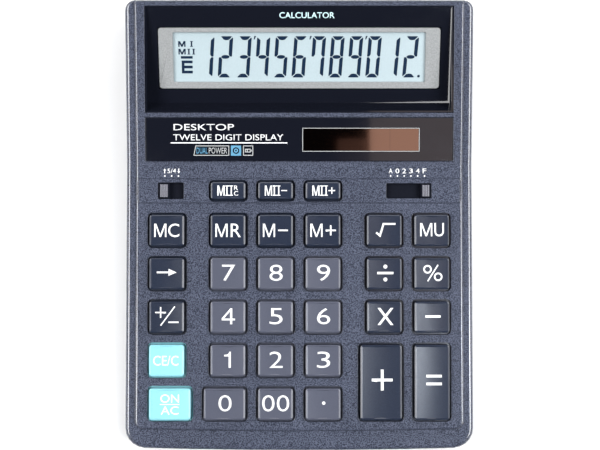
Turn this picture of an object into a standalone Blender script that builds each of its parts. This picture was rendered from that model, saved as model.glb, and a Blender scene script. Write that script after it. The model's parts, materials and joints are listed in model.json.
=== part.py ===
"""A desk calculator, as an assembly of separate pieces. Metres, X right, Y to the rear, Z up.

The origin is on the resting plane, under the middle of the case. The case has two top planes that meet at
the kink: the deck, which carries the keys, and the steeper upper plane, which carries the two black panels.
"""

from math import atan, cos, pi, radians, sin, tan

import bmesh
import bpy
from mathutils import Matrix, Vector

# Overall sizes
BODY_WIDTH = 0.158
BODY_LENGTH = 0.203
REAR_HEIGHT = 0.031
FRONT_HEIGHT = 0.0115  # top of the slab at its front edge
DECK_SLOPE = radians(4.0)
DISPLAY_SLOPE = radians(20.4)

# Case
CASE_WALL = 0.002
DECK_WALL = 0.0018
FLOOR_WALL = 0.0016
PARTING_HEIGHT = 0.006
FOOT_PROUD = 0.0012
SIDE_WAIST = 0.0004  # how far the sides draw in at mid length
FRONT_BOW = 0.0013
REAR_CORNER_RADIUS = 0.0045
FRONT_CORNER_RADIUS = 0.0088
OUTER_FILLET = 0.0019
FLOOR_FILLET = 0.0016
GAP = 0.0003  # between pieces that seat on each other
TONGUE_WALL = 0.0009
TONGUE_HEIGHT = 0.0015

# Slab: the raised middle of the top case
SLAB_STEP = 0.0013
SIDE_SHOULDER = 0.0045
FRONT_SHOULDER = 0.0088
REAR_SHOULDER = 0.0005
SLAB_CORNER_RADIUS = 0.0034
SLAB_FILLET = 0.0010
REAR_FILLET = 0.0022

# Upper plane, from the kink to the rear
KINK_MARGIN = 0.0011
LOWER_PANEL_LENGTH = 0.0199
BAR_LENGTH = 0.002
RECESS_LENGTH = 0.0475
REAR_LIP = 0.0032
PANEL_MARGIN = 0.0091  # from the case's side to the panels
PANEL_THICKNESS = 0.0008
PANEL_BACKING = 0.0012

# Solar cell window in the lower panel
SOLAR_WIDTH = 0.0526
SOLAR_LENGTH = 0.0102
SOLAR_THICKNESS = 0.0018
SOLAR_X = 0.028
SOLAR_FROM_KINK = 0.0109
SOLAR_SINK = 0.0002

# Display
FASCIA_WALL = 0.0016
CHEEK_WALL = 0.0006
TROUGH_DRAFT = radians(33.0)
PANEL_SINK = 0.0004  # the display panel's rear edge, below the upper plane
BEZEL_WIDTH = 0.1282
BEZEL_LENGTH = 0.0277
BEZEL_FROM_TOP = 0.0098
BEZEL_THICKNESS = 0.001
WINDOW_WIDTH = 0.115
WINDOW_LENGTH = 0.0226
WINDOW_FROM_TOP = 0.0119
GLASS_BORDER = 0.0015
GLASS_THICKNESS = 0.0026
ZEBRA_WIDTH = 0.002
ZEBRA_HEIGHT = 0.002
DISPLAY_BOARD_MARGIN = 0.0025
BOARD_THICKNESS = 0.0012

# Keys
LABEL_BAND = 0.0068
STRIP_LENGTH = 0.0107
STRIP_RISE = 0.0003
STRIP_MARGIN = 0.0015
STRIP_GAP = 0.0046
ROW_GAP = 0.0035
FRONT_MARGIN = 0.0043
SIDE_MARGIN = 0.00585
COLUMN_GAP = 0.0038
GROUP_GAP = 0.0100
FUNCTION_KEY_LENGTH = 0.0098
WIDE_KEY_EXTRA = 0.003
KEY_CLEARANCE = 0.0007
KEY_PROUD = 0.0022
KEY_TOP_WALL = 0.0015
KEY_SIDE_WALL = 0.001
KEY_RADIUS = 0.0012
KEY_EDGE = 0.0004
KEY_FLANGE_WIDTH = 0.0009
KEY_FLANGE_THICKNESS = 0.0008
KEY_TRAVEL = 0.0015
PLUNGER_RADIUS = 0.0022

# Rubber mat and main board under the keys
DOME_SPARE = 0.0003  # the height of a dome beyond the key's travel
DOME_BASE_RADIUS = 0.0034
DOME_TOP_RADIUS = 0.0023
DOME_WALL = 0.0006
MAT_THICKNESS = 0.0006
BOARD_FRONT_MARGIN = 0.0046
BOARD_SIDE_MARGIN = 0.0034
CHIP_RADIUS = 0.006
CHIP_THICKNESS = 0.0016
POST_RADIUS = 0.0015

# Slide switches: slot size, number of steps between its ends, and where the slot starts
SWITCH_STEP = 0.00307
SWITCH_PROUD = 0.0008
SWITCH_PLATE = 0.0008
SWITCH_SIDE = 0.001
ROUND_STEPS = 2
ROUND_GRIP_WIDTH = 0.0049
ROUND_SLOT_LENGTH = 0.0075
ROUND_SLOT_START = 0.0046  # from the left column's left edge
DECIMAL_STEPS = 5
DECIMAL_GRIP_WIDTH = 0.0045
DECIMAL_SLOT_LENGTH = 0.0069
DECIMAL_SLOT_SHIFT = 0.0006  # from midway between the two right columns

# Fasteners and feet
SCREW_INSET = 0.0062
SCREW_FROM_END = 0.0135
SCREW_HEAD_RADIUS = 0.0022
SCREW_HEAD_THICKNESS = 0.0014
SCREW_SHANK_RADIUS = 0.0011
SCREW_LENGTH = 0.005
SCREW_SEAT = 0.0012
CROSS_REACH = 0.0013  # the driver's cross, from its middle to an arm's end
CROSS_ARM = 0.22  # an arm's width as a share of its length
CROSS_DEPTH = 0.0008
BOSS_RADIUS = 0.0025
FOOT_RADIUS = 0.005
FOOT_RECESS = 0.0007
FOOT_INSET = 0.0155

# Battery compartment
CELL_RADIUS = 0.0058
CELL_THICKNESS = 0.00305
CELL_LIFT = 0.0006
DOOR_WIDTH = 0.022
DOOR_LENGTH = 0.024
DOOR_X = -0.040
DOOR_FROM_REAR = 0.030
DOOR_LIP = 0.0022
DOOR_TAB_WIDTH = 0.003
DOOR_TAB_REACH = 0.0018
DOOR_TAB_THICKNESS = 0.001
CONTACT_THICKNESS = 0.0003
CONTACT_WIDTH = 0.004

# Wiring
CABLE_WIDTH = 0.03
CABLE_THICKNESS = 0.0003
LEAD_RADIUS = 0.0005
LEAD_BEND = 0.004
LEAD_FROM_EDGE = 0.002

# Worked out from the sizes above
half_width = BODY_WIDTH / 2
front = -BODY_LENGTH / 2
rear = BODY_LENGTH / 2
floor_top = FOOT_PROUD + FLOOR_WALL
upper_length = KINK_MARGIN + LOWER_PANEL_LENGTH + BAR_LENGTH + RECESS_LENGTH + REAR_LIP
kink_y = rear - upper_length
slab_front = front + FRONT_SHOULDER
slab_half_width = half_width - SIDE_SHOULDER
slab_inner = slab_half_width - CASE_WALL - SIDE_WAIST
kink_z = FRONT_HEIGHT + (kink_y - slab_front) * tan(DECK_SLOPE)
upper_slope = atan((REAR_HEIGHT - kink_z) / (upper_length - REAR_SHOULDER - REAR_FILLET))
recess_front = kink_y + KINK_MARGIN + LOWER_PANEL_LENGTH + BAR_LENGTH
recess_rear = recess_front + RECESS_LENGTH
panel_half_width = half_width - PANEL_MARGIN

deck_length = (kink_y - slab_front) / cos(DECK_SLOPE)
key_width = (2 * (slab_half_width - SIDE_MARGIN) - 3 * COLUMN_GAP - 2 * GROUP_GAP) / 6
key_length = (deck_length - LABEL_BAND - STRIP_LENGTH - STRIP_GAP - 4 * ROW_GAP - FRONT_MARGIN) / 5
row_pitch = key_length + ROW_GAP
columns = [SIDE_MARGIN - slab_half_width + key_width / 2]
for space in (GROUP_GAP, COLUMN_GAP, COLUMN_GAP, GROUP_GAP, COLUMN_GAP):
    columns.append(columns[-1] + key_width + space)
strip_centre = -(LABEL_BAND + STRIP_LENGTH / 2)
first_row = -(LABEL_BAND + STRIP_LENGTH + STRIP_GAP + key_length / 2)
rows = [strip_centre] + [first_row - n * row_pitch for n in range(5)]

# Heights below the deck's surface, down through the stack under a key
flange_top = -(DECK_WALL + GAP)
flange_bottom = flange_top - KEY_FLANGE_THICKNESS
dome_top = flange_bottom - GAP
mat_top = dome_top - KEY_TRAVEL - DOME_SPARE
mat_bottom = mat_top - MAT_THICKNESS
board_top = mat_bottom - GAP
board_bottom = board_top - BOARD_THICKNESS

# Depths behind the display panel's face
glass_face = -(BEZEL_THICKNESS + GAP)
glass_back = glass_face - GLASS_THICKNESS
zebra_face = glass_back - GAP
zebra_back = zebra_face - ZEBRA_HEIGHT
display_board_face = zebra_back - GAP
display_board_back = display_board_face - BOARD_THICKNESS

CORNER_STEPS = 5
SIDE_STEPS = 6
SMALL_CORNER_STEPS = 2
ROUND_SIDES = 16
FAR = 0.05  # how far a cutter runs past what it cuts
INSIDE = 0.0002  # how far a joined piece is sunk into its neighbour


def clear_scene():
    for obj in list(bpy.data.objects):
        bpy.data.objects.remove(obj)


def collection(name):
    made = bpy.data.collections.new(name)
    bpy.context.scene.collection.children.link(made)
    return made


def material(name, colour, roughness, metallic=0.0):
    made = bpy.data.materials.new(name)
    made.use_nodes = True
    shader = made.node_tree.nodes["Principled BSDF"]
    shader.inputs["Base Color"].default_value = (*colour, 1.0)
    shader.inputs["Roughness"].default_value = roughness
    shader.inputs["Metallic"].default_value = metallic
    return made


def link(obj, finish=None, parent=None):
    """Puts an object among the parts, or among the cutters where it has no finish."""
    if finish is None:
        obj.hide_render = True
        obj.display_type = "WIRE"
        cutters.objects.link(obj)
    else:
        obj.data.materials.append(finish)
        parts.objects.link(obj)
    obj.parent = parent
    return obj


def frame(name, location, slope):
    """An empty whose Y runs up a slope and whose Z stands square to it."""
    empty = bpy.data.objects.new(name, None)
    empty.location = location
    empty.rotation_euler = (slope, 0, 0)
    parts.objects.link(empty)
    return empty


def prism(name, outline, low, high, finish=None, parent=None, location=(0, 0, 0), sideways=False):
    """A solid with a flat outline. It is thick along Z, or along X where the outline is a side view."""
    curve = bpy.data.curves.new(name, "CURVE")
    curve.dimensions = "2D"
    curve.fill_mode = "BOTH"
    curve.extrude = (high - low) / 2
    spline = curve.splines.new("POLY")
    spline.points.add(len(outline) - 1)
    for point, (x, y) in zip(spline.points, outline):
        point.co = (x, y, 0, 1)
    spline.use_cyclic_u = True
    guide = bpy.data.objects.new(name + "_outline", curve)
    bpy.context.scene.collection.objects.link(guide)
    graph = bpy.context.evaluated_depsgraph_get()
    mesh = bpy.data.meshes.new_from_object(guide.evaluated_get(graph))
    bpy.data.objects.remove(guide)
    shape = bmesh.new()
    shape.from_mesh(mesh)
    bmesh.ops.remove_doubles(shape, verts=shape.verts, dist=1e-6)
    bmesh.ops.translate(shape, verts=shape.verts, vec=(0, 0, (high + low) / 2))
    if sideways:
        turn = Matrix(((0, 0, 1), (1, 0, 0), (0, 1, 0)))
        bmesh.ops.transform(shape, matrix=turn.to_4x4(), verts=shape.verts)
    return from_bmesh(name, shape, finish, parent, location)


def from_bmesh(name, shape, finish=None, parent=None, location=(0, 0, 0)):
    bmesh.ops.recalc_face_normals(shape, faces=shape.faces)
    mesh = bpy.data.meshes.new(name)
    shape.to_mesh(mesh)
    shape.free()
    obj = bpy.data.objects.new(name, mesh)
    obj.location = location
    return link(obj, finish, parent)


def block_shape(low, high):
    shape = bmesh.new()
    size = [b - a for a, b in zip(low, high)]
    middle = [(a + b) / 2 for a, b in zip(low, high)]
    place = Matrix.Translation(middle) @ Matrix.Diagonal((*size, 1))
    bmesh.ops.create_cube(shape, size=1, matrix=place)
    return shape


def block(name, low, high, finish=None, parent=None, location=(0, 0, 0)):
    return from_bmesh(name, block_shape(low, high), finish, parent, location)


def rod(
    name, radius, low, high, finish=None, parent=None, location=(0, 0, 0), top_radius=None, sides=ROUND_SIDES
):
    """An upright cylinder, or a cone where its top radius differs."""
    shape = bmesh.new()
    bmesh.ops.create_cone(
        shape,
        cap_ends=True,
        segments=sides,
        radius1=radius,
        radius2=radius if top_radius is None else top_radius,
        depth=high - low,
        matrix=Matrix.Translation((0, 0, (low + high) / 2)),
    )
    obj = from_bmesh(name, shape, finish, parent, location)
    obj.data.shade_smooth()
    obj.data.set_sharp_from_angle(angle=radians(40))
    return obj


def modify(obj, kind, **settings):
    modifier = obj.modifiers.new(kind.title(), kind)
    for key, value in settings.items():
        setattr(modifier, key, value)
    return modifier


def cut(obj, cutter):
    modify(obj, "BOOLEAN", operation="DIFFERENCE", object=cutter)


def join(obj, other):
    modify(obj, "BOOLEAN", operation="UNION", object=other)


def keep(obj, other):
    modify(obj, "BOOLEAN", operation="INTERSECT", object=other)


def round_edges(obj, width, segments, clamped=True):
    modify(
        obj,
        "BEVEL",
        width=width,
        segments=segments,
        limit_method="ANGLE",
        angle_limit=radians(40),
        use_clamp_overlap=clamped,
    )


def rectangle(width, length, radius, steps=SMALL_CORNER_STEPS):
    """A rounded rectangle's outline, centred on the origin."""
    x, y = width / 2 - radius, length / 2 - radius
    corners = ((x, y, 0), (-x, y, 1), (-x, -y, 2), (x, -y, 3))
    quarters = [n / steps for n in range(steps + 1)]
    turns = [(cx, cy, pi / 2 * (quarter + share)) for cx, cy, quarter in corners for share in quarters]
    return [(cx + radius * cos(turn), cy + radius * sin(turn)) for cx, cy, turn in turns]


def case_outline(side_inset, front_inset=None, rear_inset=None, front_radius=None, rear_radius=None):
    """The case's plan, drawn in from its sides and ends, with waisted sides and a bowed front."""
    front_inset = side_inset if front_inset is None else front_inset
    rear_inset = side_inset if rear_inset is None else rear_inset
    front_radius = FRONT_CORNER_RADIUS - side_inset if front_radius is None else front_radius
    rear_radius = REAR_CORNER_RADIUS - side_inset if rear_radius is None else rear_radius
    x, low, high = half_width - side_inset, front + front_inset, rear - rear_inset
    points = []

    def arc(cx, cy, radius, quarter):
        for n in range(CORNER_STEPS + 1):
            angle = pi / 2 * (quarter + n / CORNER_STEPS)
            points.append((cx + radius * cos(angle), cy + radius * sin(angle)))

    def run(start, end):
        for n in range(1, SIDE_STEPS):
            points.append(tuple(Vector(start).lerp(Vector(end), n / SIDE_STEPS)))

    arc(x - rear_radius, high - rear_radius, rear_radius, 0)
    arc(rear_radius - x, high - rear_radius, rear_radius, 1)
    run((-x, high - rear_radius), (-x, low + front_radius))
    arc(front_radius - x, low + front_radius, front_radius, 2)
    run((front_radius - x, low), (x - front_radius, low))
    arc(x - front_radius, low + front_radius, front_radius, 3)
    run((x, low + front_radius), (x, high - rear_radius))
    return [
        (
            px * (1 - SIDE_WAIST / half_width * (1 - (py / rear) ** 2)),
            py + FRONT_BOW * (px / half_width) ** 2 * max(0.0, py / front),
        )
        for px, py in points
    ]


def side_view(drop, back=None):
    """The side view under the top planes, lowered by drop. Its rear end is far off, or rounded at back."""
    ahead = front - FAR
    outline = [
        (kink_y, kink_z - drop / cos(DECK_SLOPE)),
        (ahead, kink_z + (ahead - kink_y) * tan(DECK_SLOPE) - drop / cos(DECK_SLOPE)),
        (ahead, -FAR),
    ]
    if back is None:
        behind = rear + FAR
        behind_z = kink_z + (behind - kink_y) * tan(upper_slope) - drop / cos(upper_slope)
        end = [(behind, -FAR), (behind, behind_z)]
    else:
        centre_y = back - REAR_FILLET
        centre_z = kink_z + (centre_y - kink_y) * tan(upper_slope) - REAR_FILLET / cos(upper_slope)
        turns = [(pi / 2 + upper_slope) * n / CORNER_STEPS for n in range(CORNER_STEPS + 1)]
        arc = [(centre_y + REAR_FILLET * cos(turn), centre_z + REAR_FILLET * sin(turn)) for turn in turns]
        end = [(back, -FAR), *arc]
    return outline + end


def panel_height(y):
    """The display panel's face, at a place along the case."""
    return panel_top_z - (recess_rear - y) * tan(DISPLAY_SLOPE)


def under_planes(name, outline, low, drop, back=None):
    """A cutter or core: an outline carried up to the case's top planes, lowered by drop."""
    core = prism(name, outline, low, REAR_HEIGHT + FAR)
    roof = prism(name + "_roof", side_view(drop, back), -BODY_WIDTH, BODY_WIDTH, sideways=True)
    keep(core, roof)
    return core


def make_top_case():
    case = prism("top_case", case_outline(0), -FAR / 2, REAR_HEIGHT + FAR, case_plastic)
    keep(case, prism("case_roof", side_view(SLAB_STEP), -BODY_WIDTH, BODY_WIDTH, sideways=True))
    round_edges(case, OUTER_FILLET, 3, clamped=False)
    below = (-BODY_WIDTH, -BODY_LENGTH, -FAR)
    cut(case, block("below_parting", below, (BODY_WIDTH, BODY_LENGTH, PARTING_HEIGHT + GAP)))

    slab_outline = case_outline(SIDE_SHOULDER, FRONT_SHOULDER, -FAR, SLAB_CORNER_RADIUS, SLAB_CORNER_RADIUS)
    slab = under_planes("slab", slab_outline, PARTING_HEIGHT + CASE_WALL, 0, rear - REAR_SHOULDER)
    round_edges(slab, SLAB_FILLET, 3, clamped=False)
    join(case, slab)

    wide = case_outline(CASE_WALL)
    cut(case, under_planes("wide_hollow", wide, -FAR, SLAB_STEP + DECK_WALL))
    narrow = case_outline(
        SIDE_SHOULDER + CASE_WALL, FRONT_SHOULDER + CASE_WALL, CASE_WALL + REAR_FILLET, CASE_WALL, CASE_WALL
    )
    cut(case, under_planes("slab_hollow", narrow, -FAR, DECK_WALL))

    strip = rectangle(2 * (slab_half_width - STRIP_MARGIN), STRIP_LENGTH, KEY_RADIUS)
    strip_place = (0, strip_centre, 0)
    join(case, prism("strip_pad", strip, -DECK_WALL / 2, STRIP_RISE, parent=deck, location=strip_place))

    pocket_place = (0, (KINK_MARGIN + LOWER_PANEL_LENGTH / 2) / cos(upper_slope), 0)
    pocket_length = LOWER_PANEL_LENGTH / cos(upper_slope)
    half_backing = pocket_length / 2 + BAR_LENGTH - GAP
    backing = block(
        "panel_backing",
        (-panel_half_width - CASE_WALL, -half_backing, -DECK_WALL - PANEL_BACKING),
        (panel_half_width + CASE_WALL, half_backing, -DECK_WALL + INSIDE),
        parent=upper,
        location=pocket_place,
    )
    join(case, backing)
    for n, (x, y) in enumerate(screw_places):
        join(case, boss(f"boss_{n}", x, y))
    recess_low = (-panel_half_width, recess_front, PARTING_HEIGHT)
    cut(case, block("recess_opening", recess_low, (panel_half_width, recess_rear, REAR_HEIGHT + FAR)))
    pocket = rectangle(2 * panel_half_width, pocket_length, KEY_EDGE)
    pocket_floor = -PANEL_THICKNESS - GAP
    cut(case, prism("panel_pocket", pocket, pocket_floor, FAR, parent=upper, location=pocket_place))
    half_solar = (SOLAR_WIDTH / 2 + GAP, SOLAR_LENGTH / 2 + GAP)
    solar_low = (-half_solar[0], -half_solar[1], -FAR / 5)
    cut(case, block("solar_opening", solar_low, (*half_solar, FAR), parent=upper, location=solar_place))
    modify(case, "BOOLEAN", operation="DIFFERENCE", operand_type="COLLECTION", collection=key_openings)
    return case


def boss(name, x, y):
    """A screw boss with its pilot hole, from the parting line to the roof."""
    bottom = screw_head_top + SCREW_SEAT + GAP
    top = roof_height(y) - SLAB_STEP - DECK_WALL + 2 * INSIDE
    post = rod(name, BOSS_RADIUS, bottom, top, location=(x, y, 0))
    pilot_top = screw_head_top + SCREW_LENGTH + GAP
    cut(post, rod(name + "_pilot", SCREW_SHANK_RADIUS + GAP, -FAR, pilot_top, location=(x, y, 0)))
    return post


def roof_height(y):
    slope, run = (upper_slope, y - kink_y) if y > kink_y else (DECK_SLOPE, y - kink_y)
    return kink_z + run * tan(slope)


def make_openings():
    """One cutter for each key and slide switch."""
    for key in keys:
        outline = rectangle(key["width"], key["length"], KEY_RADIUS + KEY_CLEARANCE)
        opening(key["name"] + "_opening", outline, key["x"], key["y"])
    for knob in knobs:
        outline = rectangle(knob["slot_width"], knob["slot_length"], KEY_EDGE)
        opening(knob["name"] + "_slot", outline, knob["slot_x"], strip_centre)


def opening(name, outline, x, y):
    cutter = prism(name, outline, -DECK_WALL - GAP, FAR / 5, parent=deck, location=(x, y, 0))
    cutters.objects.unlink(cutter)
    key_openings.objects.link(cutter)


def make_key(key):
    """A hollow cap with a flange that keeps it under the deck and a plunger that meets the dome."""
    width, length = key["width"] - 2 * KEY_CLEARANCE, key["length"] - 2 * KEY_CLEARANCE
    place = (key["x"], key["y"], 0)
    cap = prism(
        "key_" + key["name"],
        rectangle(width, length, KEY_RADIUS),
        flange_bottom + INSIDE,
        KEY_PROUD,
        finishes[key["finish"]],
        deck,
        place,
    )
    round_edges(cap, KEY_EDGE, 1)
    flange = (width / 2 + KEY_CLEARANCE + KEY_FLANGE_WIDTH, length / 2 + KEY_CLEARANCE + KEY_FLANGE_WIDTH)
    join(
        cap,
        block(
            key["name"] + "_flange",
            (-flange[0], -flange[1], flange_bottom),
            (*flange, flange_top),
            parent=deck,
            location=place,
        ),
    )
    hollow = (width / 2 - KEY_SIDE_WALL, length / 2 - KEY_SIDE_WALL)
    cut(
        cap,
        block(
            key["name"] + "_hollow",
            (-hollow[0], -hollow[1], -FAR / 5),
            (*hollow, KEY_PROUD - KEY_TOP_WALL),
            parent=deck,
            location=place,
        ),
    )
    plunger_top = KEY_PROUD - KEY_TOP_WALL + INSIDE
    plunger = rod(
        key["name"] + "_plunger",
        PLUNGER_RADIUS,
        flange_bottom,
        plunger_top,
        parent=deck,
        location=place,
        sides=8,
    )
    join(cap, plunger)


def make_knob(knob):
    """A ribbed grip in its slot, on a plate that closes the slot from below."""
    slot, grip = knob["slot_width"], knob["grip"]
    place = (knob["x"], strip_centre, 0)
    reach = slot - grip / 2
    left = max(knob["x"] - reach, GAP - slab_inner) - knob["x"]
    right = min(knob["x"] + reach, slab_inner - GAP) - knob["x"]
    side = knob["slot_length"] / 2 + SWITCH_SIDE
    plate_top = -(DECK_WALL + GAP)
    plate = block(
        knob["name"],
        (left, -side, plate_top - SWITCH_PLATE),
        (right, side, plate_top),
        dark_plastic,
        deck,
        place,
    )
    half_length = knob["slot_length"] / 2 - GAP
    join(
        plate,
        block(
            knob["name"] + "_grip",
            (-grip / 2, -half_length, plate_top - SWITCH_PLATE / 2),
            (grip / 2, half_length, SWITCH_PROUD),
            parent=deck,
            location=place,
        ),
    )
    ribs = 4
    pitch = grip / (ribs + 1)
    for n in range(ribs):
        middle = -grip / 2 + pitch * (n + 1)
        groove = block(
            f"{knob['name']}_groove_{n}",
            (middle - pitch / 4, -half_length * 0.8, SWITCH_PROUD - 2 * INSIDE),
            (middle + pitch / 4, half_length * 0.8, FAR),
            parent=deck,
            location=place,
        )
        cut(plate, groove)


def make_mat():
    """The rubber mat: a sheet with a hollow dome under each key."""
    left, right = columns[0] - key_width / 2, columns[-1] + key_width / 2
    low, high = rows[-1] - key_length / 2, rows[1] + key_length / 2
    tab_left, tab_right = columns[1] - key_width / 2, columns[3] + key_width / 2
    tab_high = strip_centre + DOME_BASE_RADIUS + 2 * DOME_WALL
    outline = [
        (left, low),
        (right, low),
        (right, high),
        (tab_right, high),
        (tab_right, tab_high),
        (tab_left, tab_high),
        (tab_left, high),
        (left, high),
    ]
    mat = prism("keypad_mat", outline, mat_bottom, mat_top, grey_rubber, deck)
    domes, hollows = collection("domes"), collection("dome_hollows")
    for key in keys:
        place = (key["x"], key["y"], 0)
        dome = rod(
            key["name"] + "_dome",
            DOME_BASE_RADIUS,
            mat_top - INSIDE,
            dome_top,
            parent=deck,
            location=place,
            top_radius=DOME_TOP_RADIUS,
            sides=8,
        )
        hollow = rod(
            key["name"] + "_dome_hollow",
            DOME_BASE_RADIUS - DOME_WALL,
            mat_bottom - MAT_THICKNESS,
            dome_top - DOME_WALL,
            parent=deck,
            location=place,
            top_radius=DOME_TOP_RADIUS - DOME_WALL,
            sides=8,
        )
        for obj, home in ((dome, domes), (hollow, hollows)):
            cutters.objects.unlink(obj)
            home.objects.link(obj)
    modify(mat, "BOOLEAN", operation="UNION", operand_type="COLLECTION", collection=domes)
    modify(mat, "BOOLEAN", operation="DIFFERENCE", operand_type="COLLECTION", collection=hollows)


def make_main_board():
    half = slab_half_width - BOARD_SIDE_MARGIN - CASE_WALL
    low = -deck_length + BOARD_FRONT_MARGIN
    outline = [(-half, low), (half, low), (half, -MAT_THICKNESS), (-half, -MAT_THICKNESS)]
    prism("main_board", outline, board_bottom, board_top, green_board, deck)
    chip_y = rows[2]
    chip_top = board_bottom - GAP
    rod(
        "chip_blob",
        CHIP_RADIUS * 0.7,
        chip_top - CHIP_THICKNESS,
        chip_top,
        epoxy,
        deck,
        (columns[2], chip_y, 0),
        top_radius=CHIP_RADIUS,
    )


def make_lower_panel():
    length = LOWER_PANEL_LENGTH / cos(upper_slope)
    middle = (KINK_MARGIN + LOWER_PANEL_LENGTH / 2) / cos(upper_slope)
    outline = rectangle(2 * (panel_half_width - GAP), length - 2 * GAP, KEY_EDGE)
    panel = prism("lower_panel", outline, -PANEL_THICKNESS, 0, black_gloss, upper, (0, middle, 0))
    half = (SOLAR_WIDTH / 2 + GAP, SOLAR_LENGTH / 2 + GAP)
    window_low = (-half[0], -half[1], -FAR)
    cut(panel, block("solar_window", window_low, (*half, FAR), parent=upper, location=solar_place))
    cell_low = (-SOLAR_WIDTH / 2, -SOLAR_LENGTH / 2, -SOLAR_SINK - SOLAR_THICKNESS)
    cell_high = (SOLAR_WIDTH / 2, SOLAR_LENGTH / 2, -SOLAR_SINK)
    block("solar_cell", cell_low, cell_high, solar_glass, upper, solar_place)


def make_display():
    """The black fascia with its sunk panel, and the bezel, glass, zebra strip and board on that panel."""
    trough_y = trough_front + (panel_trough_z - trough_front_z) * -tan(TROUGH_DRAFT)
    below = FASCIA_WALL / cos(DISPLAY_SLOPE)
    front_face, rear_face = recess_front + GAP, recess_rear - GAP
    outer = [
        (front_face, trough_front_z),
        (front_face, trough_front_z - FASCIA_WALL),
        (trough_y - FASCIA_WALL / cos(TROUGH_DRAFT), panel_height(trough_y) - below),
        (trough_y, panel_height(trough_y) - below),
        (rear_face, panel_height(rear_face) - below),
        (rear_face, roof_height(rear_face)),
    ]
    half = panel_half_width - GAP
    fascia = prism("display_fascia", outer, -half, half, black_gloss, sideways=True)
    hollow = [
        (trough_front, trough_front_z),
        (trough_y, panel_height(trough_y)),
        (rear_face + FAR, panel_height(rear_face + FAR)),
        (rear_face + FAR, REAR_HEIGHT + 2 * FAR),
        (trough_front, REAR_HEIGHT + 2 * FAR),
    ]
    inner = half - CHEEK_WALL
    cut(fascia, prism("display_recess", hollow, -inner, inner, sideways=True))
    bezel_middle = (0, -(BEZEL_FROM_TOP + BEZEL_LENGTH / 2), 0)
    seat = rectangle(BEZEL_WIDTH + 2 * GAP, BEZEL_LENGTH + 2 * GAP, 2 * KEY_EDGE)
    cut(fascia, prism("bezel_seat", seat, -FAR / 5, FAR / 5, parent=display, location=bezel_middle))

    bezel = prism(
        "lcd_bezel",
        rectangle(BEZEL_WIDTH, BEZEL_LENGTH, 2 * KEY_EDGE),
        -BEZEL_THICKNESS,
        0,
        silver_paint,
        display,
        bezel_middle,
    )
    window_middle = (0, -(WINDOW_FROM_TOP + WINDOW_LENGTH / 2), 0)
    window = rectangle(WINDOW_WIDTH, WINDOW_LENGTH, KEY_EDGE)
    cut(bezel, prism("lcd_window", window, -FAR, FAR, parent=display, location=window_middle))

    glass = (WINDOW_WIDTH / 2 + GLASS_BORDER, WINDOW_LENGTH / 2 + GLASS_BORDER)
    glass_low = (-glass[0], -glass[1], glass_back)
    block("lcd_glass", glass_low, (*glass, glass_face), lcd_finish, display, window_middle)
    zebra_y = window_middle[1] + glass[1] - ZEBRA_WIDTH
    block(
        "zebra_strip",
        (-WINDOW_WIDTH / 2, -ZEBRA_WIDTH / 2, zebra_back),
        (WINDOW_WIDTH / 2, ZEBRA_WIDTH / 2, zebra_face),
        zebra_rubber,
        display,
        (0, zebra_y, 0),
    )
    board = (glass[0] + DISPLAY_BOARD_MARGIN, glass[1] + DISPLAY_BOARD_MARGIN)
    block(
        "display_board",
        (-board[0], -board[1], display_board_back),
        (*board, display_board_face),
        green_board,
        display,
        window_middle,
    )
    return window_middle[1] - board[1]


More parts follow.
